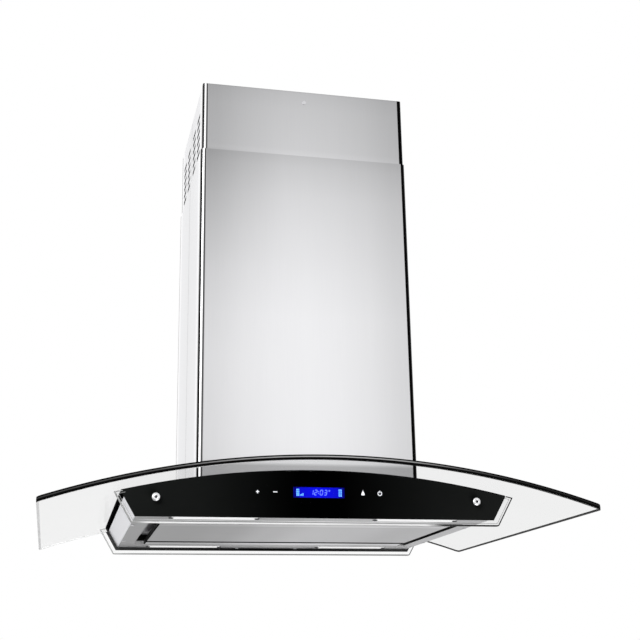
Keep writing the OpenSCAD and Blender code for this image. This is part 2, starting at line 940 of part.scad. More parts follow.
module filter_latch_left() {
    mirror([1, 0, 0]) filter_latch();
}

// ---------------------------------------------------------------- suction panel

module suction_panel() {
    color(steel) block([-suction_x, -suction_y, suction_z], [suction_x, suction_y, suction_z + pan_t]);
}

// Rim strips welded round the panel's sheet, open at the corners, with strike plates and hinge arms
module suction_rim() {
    strike_w = 24;
    strike_d = 12;
    base_z = suction_z + pan_t;
    inner_y = suction_y - pan_t;
    color(steel) {
        block([-suction_x, -suction_y, base_z], [suction_x, -inner_y, rim_z]);
        block([-suction_x, inner_y, base_z], [suction_x, suction_y, rim_z]);
        both_sides() {
            block([suction_x - pan_t, -inner_y + corner_gap, base_z],
                [suction_x, inner_y - corner_gap, rim_z]);
            block([hinge_x - strike_w / 2, -suction_y + pan_t / 2, rim_z - pan_t],
                [hinge_x + strike_w / 2, -suction_y + strike_d, rim_z]);
            hinge_arm(base_z);
        }
    }
}

// Arm from the panel's rear rim to the eye round the hinge pin
module hinge_arm(base_z) {
    foot = 12;
    difference() {
        union() {
            translate([hinge_x, hinge_y, hinge_z]) rotate([0, 90, 0])
                cylinder(r = eye_r, h = arm_t, center = true);
            block([hinge_x - arm_t / 2, suction_y - foot, base_z + 2 * pan_t],
                [hinge_x + arm_t / 2, hinge_y, hinge_z]);
            block([hinge_x - arm_t / 2, suction_y - foot, base_z],
                [hinge_x + arm_t / 2, suction_y - foot / 3, hinge_z]);
        }
        translate([hinge_x, hinge_y, hinge_z]) rotate([0, 90, 0])
            cylinder(r = pin_r + running_gap, h = 2 * arm_t, center = true);
    }
}

// Two cheeks and a back plate for each hinge pin, on the upstand's rear wall
module hinge_brackets() {
    cheek_x = arm_t / 2 + cheek_gap;
    color(zinc) both_sides() difference() {
        union() {
            for (s = [-1, 1]) {
                x = hinge_x + s * (cheek_x + cheek_t / 2);
                translate([x, hinge_y, hinge_z]) rotate([0, 90, 0])
                    cylinder(r = eye_r, h = cheek_t, center = true);
                block([x - cheek_t / 2, hinge_y, hinge_z - eye_r],
                    [x + cheek_t / 2, intake_y, hinge_z + eye_r]);
            }
            block([hinge_x - cheek_x - cheek_t, intake_y - 1.5, hinge_z - eye_r],
                [hinge_x + cheek_x + cheek_t, intake_y, hinge_z + eye_r]);
        }
        translate([hinge_x, hinge_y, hinge_z]) rotate([0, 90, 0])
            cylinder(r = pin_r + running_gap, h = 30, center = true);
    }
}

// Pins of the panel's hinges and of the damper's flaps
module pivot_pins() {
    color(chrome) {
        both_sides() translate([hinge_x, hinge_y, hinge_z]) rotate([0, 90, 0]) {
            cylinder(r = pin_r, h = 10, center = true);
            translate([0, 0, 4.6]) cylinder(r = pin_r + 1.2, h = 1.2);
        }
        for (s = [-1, 1]) translate([0, duct_y + s * flap_axis, flap_z]) rotate([0, 90, 0])
            cylinder(r = flap_pin_r, h = 2 * collar_r - 1, center = true);
    }
}

// Magnets on short arms from the upstand's front wall, just above the panel's strike plates
module panel_magnets() {
    low = rim_z + slide_gap;
    color(zinc) both_sides() {
        block([hinge_x - 10, -suction_y, low], [hinge_x + 10, -suction_y + 12, low + 4]);
        block([hinge_x - 10, -intake_y, low + 4], [hinge_x + 10, -suction_y + 12, low + 5.5]);
    }
}

// ---------------------------------------------------------------- blower

// Four walls' worth of box: back, sides and top, with a lip round the open front
module motor_box() {
    y0 = -box_y + wall_t;
    color(zinc) difference() {
        union() {
            difference() {
                block([-box_x, y0, glass_z - skirt], [box_x, box_y, box_top]);
                block([-box_x + wall_t, y0 - cut, glass_z - skirt - cut],
                    [box_x - wall_t, box_y - wall_t, box_top - wall_t]);
            }
            difference() {
                block([-box_x, y0, glass_z - skirt], [box_x, y0 + wall_t, box_top]);
                block([-box_x + lip_w, y0 - cut, glass_z + box_sill],
                    [box_x - lip_w, y0 + 2 * wall_t, box_top - lip_w]);
            }
        }
        bend(deck_r);
        translate([0, duct_y, box_top - 2 * wall_t]) cylinder(r = collar_r - collar_t, h = 10);
        box_screw_holes();
        translate([-box_x, cable_y, cable_z]) rotate([0, 90, 0])
            cylinder(r = cable_r + hole_gap, h = 10, center = true);
    }
}

module motor_box_cover() {
    color(zinc) difference() {
        block([-box_x, -box_y, glass_z - skirt], [box_x, -box_y + wall_t, box_top]);
        bend(deck_r);
        box_screw_holes();
    }
}

// Area inside the scroll, seen along the shaft: x runs to the back and y runs up
module scroll_area(inset) {
    a = scroll_r - inset;
    s = scroll_step;
    intersection() {
        circle(r = a);
        translate([-2 * a, 0]) square([2 * a, 2 * a]);
    }
    translate([s, 0]) intersection() {
        circle(r = a + s);
        translate([-2 * a, -2 * a]) square([2 * a, 2 * a]);
    }
    translate([s, s]) intersection() {
        circle(r = a + 2 * s);
        translate([0, -2 * a]) square([2 * a, 2 * a]);
    }
    translate([0, -s]) square([s + 2 * s, a]);
    translate([0, s]) square([s, a - s]);
    translate([0, 0]) square([tongue_x + inset, a]);
    translate([tongue_x + inset, 0]) square([a + 3 * s - tongue_x - inset, 2 * fan_drop]);
}

// Slab of the scroll's outline between two x values, with its outlet cut level with the box's top
module scroll_slab(x0, x1, inset) {
    intersection() {
        translate([x0, fan_y, fan_z]) rotate([90, 0, 90]) linear_extrude(x1 - x0) scroll_area(inset);
        block([-box_x, -box_y, glass_z], [box_x, box_y, box_top - wall_t]);
    }
}

module blower_scroll() {
    color(zinc) difference() {
        scroll_slab(-side_x0, side_x0, 0);
        scroll_slab(-side_x0 - cut, side_x0 + cut, wall_t);
        block([-side_x0 - cut, fan_y + tongue_x + wall_t, outlet_low],
            [side_x0 + cut, fan_y + scroll_r + 3 * scroll_step - wall_t, box_top]);
    }
}

module blower_side() {
    color(zinc) difference() {
        union() {
            scroll_slab(side_x0, side_x0 + wall_t, 0);
            translate([side_x0 - 4, fan_y, fan_z]) rotate([0, 90, 0])
                cylinder(r = inlet_r + wall_t, h = 4 + wall_t);
        }
        translate([side_x0 - 5, fan_y, fan_z]) rotate([0, 90, 0]) cylinder(r = inlet_r, h = 20);
    }
}

module blower_side_right() {
    blower_side();
}

module blower_side_left() {
    mirror([1, 0, 0]) blower_side();
}

module motor() {
    color([0.35, 0.36, 0.38]) translate([motor_x, fan_y, fan_z]) rotate([0, 90, 0]) difference() {
        union() {
            cylinder(r = motor_r, h = motor_l);
            translate([0, 0, motor_l - 1]) cylinder(r = 14, h = 9);
        }
        translate([0, 0, 30]) cylinder(r = shaft_r + running_gap, h = motor_l);
    }
}

// Ring round the motor with three arms to the left side plate
module motor_bracket() {
    ring_w = 10;
    ring_x = -side_x0 - wall_t - ring_w;
    color(zinc) difference() {
        translate([ring_x, fan_y, fan_z]) rotate([0, 90, 0]) {
            cylinder(r = motor_r + 3, h = ring_w);
            for (a = [60, 180, 300]) rotate([0, 0, a]) translate([motor_r, -8, ring_w - 2])
                cube([inlet_r - 30, 16, 2]);
        }
        translate([ring_x - cut, fan_y, fan_z]) rotate([0, 90, 0])
            cylinder(r = motor_r + running_gap, h = 30);
    }
}

module fan_wheel() {
    blade_in = wheel_r - 17;
    color([0.62, 0.63, 0.65]) translate([0, fan_y, fan_z]) rotate([0, 90, 0]) difference() {
        union() {
            cylinder(r = wheel_r - 1, h = 2, center = true);
            cylinder(r = hub_r, h = hub_l, center = true);
            for (s = [-1, 1]) translate([0, 0, s * (wheel_w / 2 - 1)]) difference() {
                cylinder(r = wheel_r, h = 2, center = true);
                cylinder(r = blade_in, h = 4, center = true);
            }
            for (i = [0 : blades - 1]) rotate([0, 0, i * 360 / blades]) translate([blade_in + 8, 0, 0])
                rotate([0, 0, 35]) cube([15, 0.8, wheel_w - 2], center = true);
        }
        cylinder(r = shaft_r + 0.02, h = 60, center = true);
    }
}

module fan_shaft() {
    start = motor_x + 32;
    color(chrome) translate([start, fan_y, fan_z]) rotate([0, 90, 0])
        cylinder(r = shaft_r, h = hub_l - start - 6);
}

// ---------------------------------------------------------------- duct collar and damper

module duct_collar() {
    inner = collar_r - collar_t;
    color(zinc) translate([0, duct_y, 0]) difference() {
        union() {
            translate([0, 0, collar_z - 2]) linear_extrude(2)
                rounded_rect(2 * collar_base_x, 2 * collar_base_x, 8);
            translate([0, 0, collar_z - 1]) cylinder(r = collar_r, h = collar_h + 1);
        }
        translate([0, 0, flap_z - flap_tube_r]) cylinder(r = inner, h = collar_h + 20);
        translate([0, 0, collar_z - 10]) cylinder(r = inner - 2, h = 40);
        for (s = [-1, 1]) translate([0, s * flap_axis, flap_z]) rotate([0, 90, 0])
            cylinder(r = flap_pin_r + running_gap, h = 3 * collar_r, center = true);
    }
}

// Half disc that swings up on its pin: the rear one of the pair
module damper_flap() {
    low = flap_z - flap_tube_r + 0.2;
    tube = flap_r - 8;
    color(zinc) translate([0, duct_y, 0]) difference() {
        union() {
            intersection() {
                translate([0, 0, low]) cylinder(r = flap_r, h = flap_t);
                block([-collar_r, flap_axis, low - cut], [collar_r, collar_r, low + 2 * flap_t]);
            }
            translate([0, flap_axis, flap_z]) rotate([0, 90, 0])
                cylinder(r = flap_tube_r - 0.2, h = 2 * tube, center = true);
        }
        translate([0, flap_axis, flap_z]) rotate([0, 90, 0])
            cylinder(r = flap_pin_r + running_gap, h = 3 * collar_r, center = true);
    }
}

module damper_flap_rear() {
    damper_flap();
}

module damper_flap_front() {
    translate([0, duct_y, 0]) mirror([0, 1, 0]) translate([0, -duct_y, 0]) damper_flap();
}

// ---------------------------------------------------------------- electrical pieces

module control_box() {
    color([0.25, 0.25, 0.27]) difference() {
        block([-box_x - control_depth + control_wall, -control_y, control_low],
            [-box_x, control_y, control_high]);
        block([-box_x - control_depth, -control_y + control_wall, control_low + control_wall],
            [board_face_x, control_y - control_wall, control_high - control_wall]);
        translate([-cable_x, 0, control_high - 5]) cylinder(r = gland_r + hole_gap, h = 10);
        translate([-box_x, cable_y, cable_z]) rotate([0, 90, 0])
            cylinder(r = cable_r + hole_gap, h = 10, center = true);
    }
}

module control_box_lid() {
    color([0.25, 0.25, 0.27]) block([-box_x - control_depth, -control_y, control_low],
        [-box_x - control_depth + control_wall, control_y, control_high]);
}

module control_board() {
    x = board_face_x;
    color([0.08, 0.35, 0.18]) {
        block([x - 3.6, -control_y + 28, control_low + 6], [x - 2, control_y - 6, control_high - 32]);
        for (z = [control_low + 12, control_high - 44], y = [-40, 60])
            block([x - 2.5, y, z], [x, y + 6, z + 6]);
        block([x - 20, -10, control_low + 20], [x - 3, 15, control_low + 50]);
        translate([x - 3, 40, control_low + 40]) rotate([0, -90, 0]) cylinder(r = 9, h = 18);
    }
}

module terminal_block() {
    x = board_face_x;
    color([0.92, 0.92, 0.9]) difference() {
        block([x - 16, -70, control_high - 30], [x, -10, control_high - 10]);
        for (y = [-60 : 10 : -20]) translate([x - 10, y, control_high - 20]) rotate([0, -90, 0])
            cylinder(r = 2.5, h = 10);
    }
}

module cable_gland() {
    color([0.12, 0.12, 0.13]) translate([-cable_x, 0, control_high]) difference() {
        union() {
            cylinder(r = 10, h = 5);
            translate([0, 0, 5]) cylinder(r = 9, h = 9);
            translate([0, 0, -7]) cylinder(r = gland_r, h = 8);
            translate([0, 0, -7]) cylinder(r = gland_r + 2.5, h = 5);
        }
        translate([0, 0, -10]) cylinder(r = 4, h = 30);
    }
}

module led_driver() {
    low = glass_z + 46;
    color([0.9, 0.9, 0.88]) {
        block([box_x, -70, low], [box_x + 24, 70, low + 40]);
        for (y = [-80, 70]) block([box_x, y, low + 5], [box_x + 3, y + 10, low + 35]);
    }
}

module run_capacitor() {
    r = 15;
    z = glass_z + 136;
    color([0.85, 0.86, 0.88]) {
        translate([box_x + r, -40, z]) rotate([-90, 0, 0]) cylinder(r = r, h = 70);
        block([box_x, -20, z - 18], [box_x + 6, 10, z + 18]);
    }
}

// Cable from the control box through the motor box and under the deck to the touch board
module wiring_harness() {
    x0 = -box_x - 12;
    y0 = cable_y;
    z0 = cable_z;
    y1 = -body_y + body_t + board_cover_d / 2;
    z1 = board_high + board_gap + board_cover_t / 2;
    knot_r = cable_r + 0.8;
    color(rubber) {
        translate([x0, y0, z0]) rotate([0, 90, 0]) cylinder(r = cable_r, h = drop_x - x0);
        translate([drop_x, y0, harness_z]) cylinder(r = cable_r, h = z0 - harness_z);
        translate([drop_x, y1, harness_z]) rotate([-90, 0, 0]) cylinder(r = cable_r, h = y0 - y1);
        if (drop_x > harness_x) {
            translate([harness_x, y1, harness_z]) rotate([0, 90, 0])
                cylinder(r = cable_r, h = drop_x - harness_x);
            translate([drop_x, y1, harness_z]) sphere(r = knot_r);
        }
        translate([harness_x, y1, z1 - 4]) cylinder(r = cable_r, h = harness_z - z1 + 4);
        translate([drop_x, y0, z0]) sphere(r = knot_r);
        translate([drop_x, y0, harness_z]) sphere(r = knot_r);
        translate([harness_x, y1, harness_z]) sphere(r = knot_r);
    }
}

// ---------------------------------------------------------------- lower cover

module lower_half() {
    difference() {
        half_cover(cover_w, cover_d, cover_r, glass_z - skirt, -lower_top);
        bend(glass_top_r + cover_fit);
    }
}

module lower_cover_front() {
    color(steel) {
        lower_half();
        joiners(cover_w, glass_z + 40, glass_z + 140);
    }
}

module lower_cover_rear() {
    color(steel) mirror([0, 1, 0]) lower_half();
}

ceiling_plate();
upper_posts();
post_bolts();
upper_cover_front();
upper_cover_rear();
upper_cover_joiners();
upper_cover_screws();
lower_posts();
height_bolts();
bracket_ring();
ring_gasket();
ring_bolts();
canopy_glass();
canopy_gasket();
hood_shell();
bottom_frame();
small_screws();
front_glass();
front_print();
rear_glass();
rear_print();
glass_cap_screws();
display_module();
touch_board();
board_cover();
lamp_lenses();
lamp_housings();
filter_frame_left();
filter_frame_right();
filter_mesh_left();
filter_mesh_right();
filter_latch_left();
filter_latch_right();
hinge_brackets();
pivot_pins();
panel_magnets();
suction_panel();
suction_rim();
motor_box();
motor_box_cover();
blower_scroll();
blower_side_left();
blower_side_right();
motor();
motor_bracket();
fan_wheel();
fan_shaft();
duct_collar();
damper_flap_front();
damper_flap_rear();
control_box();
control_box_lid();
control_board();
terminal_block();
cable_gland();
led_driver();
run_capacitor();
wiring_harness();
lower_cover_front();
lower_cover_rear();
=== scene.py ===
"""Looks of the island range hood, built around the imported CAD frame."""

import json
import math

import bmesh
import bpy
from mathutils import Matrix, Vector

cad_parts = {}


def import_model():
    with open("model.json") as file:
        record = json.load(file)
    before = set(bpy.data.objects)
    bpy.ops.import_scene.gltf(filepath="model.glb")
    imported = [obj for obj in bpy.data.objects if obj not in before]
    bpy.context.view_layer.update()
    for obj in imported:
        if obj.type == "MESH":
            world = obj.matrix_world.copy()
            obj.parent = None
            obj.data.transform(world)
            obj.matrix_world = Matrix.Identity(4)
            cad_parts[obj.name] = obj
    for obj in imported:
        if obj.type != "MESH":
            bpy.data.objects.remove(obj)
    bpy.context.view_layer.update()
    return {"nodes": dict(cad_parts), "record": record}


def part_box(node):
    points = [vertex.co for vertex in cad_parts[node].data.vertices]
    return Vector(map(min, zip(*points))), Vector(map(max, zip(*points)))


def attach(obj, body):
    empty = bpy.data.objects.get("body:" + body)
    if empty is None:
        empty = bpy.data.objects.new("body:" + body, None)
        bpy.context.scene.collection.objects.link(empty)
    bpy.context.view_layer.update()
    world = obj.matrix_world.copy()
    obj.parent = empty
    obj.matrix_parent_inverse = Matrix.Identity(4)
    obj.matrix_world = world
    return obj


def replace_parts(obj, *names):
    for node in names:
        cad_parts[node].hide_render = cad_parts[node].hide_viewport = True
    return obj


MM = 0.001

# Canopy glass: its bend runs along Y, about an axis below the hood
BEND_Z = -2168 * MM
BEND_R = 1432 * MM
GLASS_T = 8 * MM
CANOPY_CORNER = 8 * MM
RIM_BULGE = 0.3 * MM

# Glass end panels: the half width of their bottom edge before the corners, their lean from upright,
# lower corners, gap under the bend, and the border of the print
PANEL_LEAN = math.radians(30)
PANEL_HALF = (313 - 12.5 * math.tan(PANEL_LEAN)) * MM
PANEL_CORNER = 4 * MM
PANEL_TOP_GAP = 1.9 * MM
PRINT_INSET = 10.6 * MM
PRINT_BORDER = 3 * MM

# Fine painted lines of shade and highlight along glass edges, and how far they stand off the glass
LINE_W = 4 * MM
BEVEL_W = 2 * MM
BEVEL_LINE = (4.2 * MM, 4.7 * MM)
SKIN = 0.05 * MM

# Glass, almost without reflection, and the painted shade and highlights of its edges and lines from the
# hood's left to its right
GLASS_IOR = 1.01
# painted shade: the polished edges in near black
EDGE_DARK = [(0.0, 0.0012), (1.0, 0.0012)]
# painted highlight line along the canopy's edge, brightest near the middle
EDGE_HIGHLIGHT = [(0.0, 0.05), (0.2, 0.1), (0.34, 0.32), (0.5, 0.5), (0.64, 0.35), (0.75, 0.08), (0.85, 0.02)]
# painted line under the canopy's edge, light at the left and dark towards the right
EDGE_BELOW = [(0.0, 1.0), (0.3, 1.0), (0.55, 0.05)]
# painted highlight and shade along the edges and bevel lines of the front panel, then of the rear one
FRONT_LINE = [(0.14, 0.4), (0.17, 0.4), (0.19, 1.0), (0.7, 1.0), (0.73, 0.03)]
BACK_LINE = [(0.14, 0.6), (0.8, 0.3)]

# Lamp lenses, their lips that are hidden behind the underside, and the catches at their ends
LENS_L = 140 * MM
LENS_W = 32 * MM
LENS_TRIM = 3 * MM
LENS_TRIM_Y = 2 * MM
CATCH_R = 4.5 * MM
CATCH_H = 1.5 * MM

# Cap screws of the glass end panels: radius of the cap, and its dome as (radius, reach) in millimetres
CAP_R = 7 * MM
CAP_DOME = [(3.0, -8.5), (3.0, 0.0), (6.6, 0.0), (7.0, 0.3), (7.0, 1.2), (6.7, 2.3), (5.9, 3.2), (4.6, 3.8),
            (3.0, 4.0), (2.7, 3.9), (2.3, 3.6), (2.1, 2.6), (0.02, 2.5)]

# Display and touch keys, seen from the front
CONTROL_X = -2 * MM
DISPLAY_W = 85 * MM
DIGIT_H = 8 * MM
DIGIT_W = 4 * MM
DIGIT_STROKE = 1 * MM
DIGIT_SLANT = 0.14
DOT_HALF = 0.6 * MM
KEYS = {"plus": -102 * MM, "minus": -73 * MM, "drop": 74.5 * MM, "power": 103.5 * MM}
INK_GAP = 0.05 * MM

# Chimney: painted shade and reflection on its front from the ceiling down, darker at the top and just above
# the canopy glass, as (share of SHADE_DEPTH, brightness)
SHADE_DEPTH = 750 * MM
UPPER_FALL = [(0.0, 0.5), (0.004, 0.6), (0.05, 0.655), (0.1, 0.68), (0.16, 0.71), (0.176, 0.76)]
LOWER_FALL = [(0.176, 0.61), (0.21, 0.69), (0.29, 0.8), (0.39, 0.88), (0.5, 0.95), (0.6, 1.0), (0.945, 1.0),
              (0.952, 0.61), (0.98, 0.65)]
# painted shade from the middle of the front to its edges
WIDTH_FALL = [(0.0, 0.98), (0.3, 0.955), (0.6, 0.89), (0.85, 0.795), (1.0, 0.77)]
# painted shade on the left half, and how strong it is from the ceiling down
LEFT_FALL = [(0.0, 0.74), (0.4, 1.0)]
LEFT_STRENGTH = [(0.0, 0.45), (0.17, 0.5), (0.18, 1.0), (0.28, 0.95), (0.38, 0.65), (0.48, 0.35), (0.6, 0.15),
                 (0.7, 0.0)]
# from the seam in the middle of a side to its edges: a dark seam, painted highlights towards the edges and a
# painted dark line at the fold
SIDE_FALL = [(0.0, 0.7), (0.012, 0.7), (0.024, 0.92), (0.7, 0.96), (0.86, 1.14), (0.928, 1.15), (0.934, 0.01)]

# Painted reflections along the chimney's folds, from the edge inward as shares of FOLD_BAND
FOLD_BAND = 12 * MM
STRIPES = [(0.0, 0.008), (0.24, 0.008), (0.28, 1.15), (0.51, 1.15), (0.55, 0.09), (0.73, 0.09), (0.85, 0.7)]
STRIPED_REACH = 0.85
BROAD_REACH = 0.68

# Body: black line along the shell's top, painted shade on inner faces, a painted glint on low edges that face
# the front, and tones of the underside
SHELL_LINE = 6.5 * MM
LINE_BLACK = 0.002
INSIDE_SHADE = 0.012
GLINT = 1.4
GLINT_H = 6 * MM
NO_GLARE = 1.001
# painted shade and reflection across the underside, from its left to its right
UNDER_FALL = [(0.0, 0.55), (0.18, 0.53), (0.3, 0.64), (0.42, 0.95), (0.55, 1.2), (0.68, 1.18), (0.82, 1.0),
              (1.0, 1.12)]
# suction panel, from its front to its back: painted highlights along its edges and a painted shadow line; and
# a painted shadow line at each end
PANEL_EDGE_HIGHLIGHTS = [(0.0, 1.3), (0.07, 1.3), (0.09, 0.92), (0.12, 1.0), (0.84, 1.0), (0.9, 1.5), (1.0, 1.5)]
REAR_SHADE_LINE = [(0.832, 0.0), (0.84, 1.0), (0.895, 1.0), (0.905, 0.0)]
END_SHADE_LINE = 2.5 * MM

# Floor, well below the hood so that it can be seen from below
FLOOR_Z = -4.5
FLOOR_REACH = 14

# Camera fitted to the product photograph
CAMERA_AT = (-0.42272, -2.07409, -1.04902)
CAMERA_YAW = 0.23038
CAMERA_PITCH = 0.29657
CAMERA_ROLL = -0.01792
CAMERA_LENS = 64.18


# ---------------------------------------------------------------- node helpers

def new_material(name):
    """A node material, its tree and its shader."""
    material = bpy.data.materials.new(name)
    material.use_nodes = True
    tree = material.node_tree
    return material, tree, tree.nodes["Principled BSDF"]


def object_coords(tree, stretch=(1, 1, 1)):
    """Object coordinates, in metres, scaled along each axis."""
    coords = tree.nodes.new("ShaderNodeTexCoord")
    mapping = tree.nodes.new("ShaderNodeMapping")
    mapping.inputs["Scale"].default_value = stretch
    tree.links.new(coords.outputs["Object"], mapping.inputs["Vector"])
    return mapping.outputs["Vector"]


def noise(tree, scale, stretch=(1, 1, 1), detail=4):
    """Cloudy noise, 0 to 1, in object coordinates stretched along each axis."""
    node = tree.nodes.new("ShaderNodeTexNoise")
    node.inputs["Scale"].default_value = scale
    node.inputs["Detail"].default_value = detail
    node.inputs["Roughness"].default_value = 0.55
    tree.links.new(object_coords(tree, stretch), node.inputs["Vector"])
    return node.outputs["Fac"]


def ramp(tree, source, stops, smooth=False):
    """Colour ramp: stops is a list of (position, colour or grey)."""
    node = tree.nodes.new("ShaderNodeValToRGB")
    node.color_ramp.interpolation = "EASE" if smooth else "LINEAR"
    marks = node.color_ramp.elements
    while len(marks) < len(stops):
        marks.new(0.5)
    for mark, (position, colour) in zip(marks, stops):
        mark.position = position
        grey = (colour, colour, colour) if isinstance(colour, (int, float)) else colour
        mark.color = (*grey, 1)
    tree.links.new(source, node.inputs["Fac"])
    return node.outputs["Color"]


def math_node(tree, operation, *values):
    """Result of a Math node; each value is a number or a socket."""
    node = tree.nodes.new("ShaderNodeMath")
    node.operation = operation
    for socket, value in zip(node.inputs, values):
        if isinstance(value, (int, float)):
            socket.default_value = value
        else:
            tree.links.new(value, socket)
    return node.outputs["Value"]


def mixed(tree, factor, first, second, blend="MIX"):
    """Colour between first and second; each value is a number or a socket."""
    node = tree.nodes.new("ShaderNodeMix")
    node.data_type = "RGBA"
    node.blend_type = blend
    for name, kind, value in (("Factor", "VALUE", factor), ("A", "RGBA", first), ("B", "RGBA", second)):
        socket = next(s for s in node.inputs if s.name == name and s.type == kind)
        if not isinstance(value, (int, float)):
            tree.links.new(value, socket)
        else:
            socket.default_value = value if kind == "VALUE" else (value, value, value, 1)
    return next(s for s in node.outputs if s.type == "RGBA")


def times(tree, first, second):
    """Product of two colours."""
    return mixed(tree, 1.0, first, second, "MULTIPLY")


def absolute(tree, value):
    return math_node(tree, "ABSOLUTE", value)


def below(tree, value, limit):
    """1 where value is less than limit, else 0."""
    return math_node(tree, "LESS_THAN", value, limit)


def above(tree, value, limit):
    """1 where value is greater than limit, else 0."""
    return math_node(tree, "GREATER_THAN", value, limit)


def across_width(tree, value, half_width):
    """0 at -half_width and 1 at half_width."""
    return math_node(tree, "MULTIPLY_ADD", value, 0.5 / half_width, 0.5)


def add_bump(tree, shader, height, strength, distance):
    """Fine relief on a shader's surface."""
    node = tree.nodes.new("ShaderNodeBump")
    node.inputs["Strength"].default_value = strength
    node.inputs["Distance"].default_value = distance
    tree.links.new(height, node.inputs["Height"])
    tree.links.new(node.outputs["Normal"], shader.inputs["Normal"])


def split_coords(tree, output):
    """Object coordinates, or the surface's own normal in the same axes, split into x, y and z."""
    coords = tree.nodes.new("ShaderNodeTexCoord")
    split = tree.nodes.new("ShaderNodeSeparateXYZ")
    tree.links.new(coords.outputs[output], split.inputs["Vector"])
    return split.outputs


# ---------------------------------------------------------------- materials

def brushed_steel(name, light, dark, along, roughness, line=900):
    """Stainless steel with fine brushing along one axis and soft large patches."""
    material, tree, shader = new_material(name)
    shader.inputs["Metallic"].default_value = 1
    shader.inputs["Anisotropic"].default_value = 0.4
    stretch = tuple(0.012 if axis == along else 1 for axis in range(3))
    lines = noise(tree, line, stretch, detail=3)
    patches = noise(tree, 3.2, detail=2)
    blend = math_node(tree, "MULTIPLY_ADD", lines, 0.65, math_node(tree, "MULTIPLY", patches, 0.35))
    tree.links.new(ramp(tree, blend, [(0.3, dark), (0.7, light)]), shader.inputs["Base Color"])
    rough = ramp(tree, lines, [(0.25, roughness - 0.05), (0.75, roughness + 0.06)])
    tree.links.new(rough, shader.inputs["Roughness"])
    add_bump(tree, shader, lines, 0.08, 0.0002)
    return material


def fold_reflections(tree, x, y, from_edge):
    """Painted reflections on the chimney's folds, and how far each reaches inward.

    Two of the four folds show a painted dark, white and grey line; the other two show one broad painted dark
    line."""
    striped = ramp(tree, from_edge, STRIPES)
    broad = ramp(tree, from_edge, [(0.0, 0.002), (1.0, 0.0025)])
    is_striped = above(tree, math_node(tree, "MULTIPLY", x, y), 0.0)
    reach = math_node(tree, "MULTIPLY_ADD", is_striped, STRIPED_REACH - BROAD_REACH, BROAD_REACH)
    return mixed(tree, is_striped, broad, striped), reach


def chimney_steel(name, half_width, half_depth, fall):
    """Brushed cover steel with painted shade and reflections: front and back, pale sides with a seam,
    polished folded corners.

    fall lists the painted brightness of the front at each share of SHADE_DEPTH below the ceiling."""
    material, tree, shader = new_material(name)
    shader.inputs["Metallic"].default_value = 1
    lines = noise(tree, 1600, (1, 1, 0.006), detail=3)
    patches = noise(tree, 3, detail=2)
    blend = math_node(tree, "MULTIPLY_ADD", lines, 0.5, math_node(tree, "MULTIPLY", patches, 0.5))
    flat = ramp(tree, blend, [(0.3, (0.845, 0.845, 0.86)), (0.7, (0.885, 0.885, 0.9))])

    x, y, z = split_coords(tree, "Object")
    nx, ny, nz = split_coords(tree, "Normal")
    # painted shade and reflection on the front: darker at the top, towards the edges, on the left and just
    # above the canopy glass
    depth = math_node(tree, "DIVIDE", z, -SHADE_DEPTH)
    width_shade = ramp(tree, math_node(tree, "DIVIDE", absolute(tree, x), half_width), WIDTH_FALL)
    front = times(tree, width_shade, ramp(tree, depth, fall))
    left_shade = ramp(tree, across_width(tree, x, half_width), LEFT_FALL)
    front = mixed(tree, ramp(tree, depth, LEFT_STRENGTH), front, times(tree, front, left_shade))

    inward = math_node(tree, "SUBTRACT", half_width, absolute(tree, x))
    from_edge = math_node(tree, "DIVIDE", inward, FOLD_BAND)
    fold_reflection, reach = fold_reflections(tree, x, y, from_edge)
    front = mixed(tree, below(tree, from_edge, reach), front, fold_reflection)

    # sides: a dark seam, painted highlights towards the folds and a painted dark line at them
    side = ramp(tree, math_node(tree, "DIVIDE", absolute(tree, y), half_depth), SIDE_FALL)
    is_front = above(tree, absolute(tree, ny), 0.02)
    outer = times(tree, flat, mixed(tree, is_front, side, front))
    outward = math_node(tree, "MULTIPLY_ADD", x, nx, math_node(tree, "MULTIPLY", y, ny))
    # faces turned inward get painted shade
    shaded = mixed(tree, below(tree, outward, 0.0), outer, INSIDE_SHADE)
    tree.links.new(shaded, shader.inputs["Base Color"])
    tree.links.new(ramp(tree, lines, [(0.25, 0.28), (0.75, 0.36)]), shader.inputs["Roughness"])
    add_bump(tree, shader, lines, 0.03, 0.0002)
    return material


def shell_steel(name):
    """Pale brushed sheet of the body, black along its top where it meets the rubber under the glass."""
    material, tree, shader = new_material(name)
    shader.inputs["IOR"].default_value = NO_GLARE
    lines = noise(tree, 1300, (0.012, 1, 1), detail=3)
    flat = ramp(tree, lines, [(0.3, (0.88, 0.88, 0.91)), (0.7, (0.94, 0.94, 0.97))])
    x, y, z = split_coords(tree, "Object")
    height = math_node(tree, "SUBTRACT", z, BEND_Z)
    squares = math_node(tree, "MULTIPLY_ADD", height, height, math_node(tree, "MULTIPLY", x, x))
    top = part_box("hood_shell")[1].z - BEND_Z
    rise = math_node(tree, "SUBTRACT", math_node(tree, "SQRT", squares), top)
    at_top = above(tree, rise, -SHELL_LINE)
    tree.links.new(mixed(tree, at_top, flat, LINE_BLACK), shader.inputs["Base Color"])
    tree.links.new(math_node(tree, "MULTIPLY_ADD", at_top, -0.75, 0.75), shader.inputs["Metallic"])
    tree.links.new(ramp(tree, lines, [(0.25, 0.35), (0.75, 0.45)]), shader.inputs["Roughness"])
    add_bump(tree, shader, lines, 0.05, 0.0002)
    return material


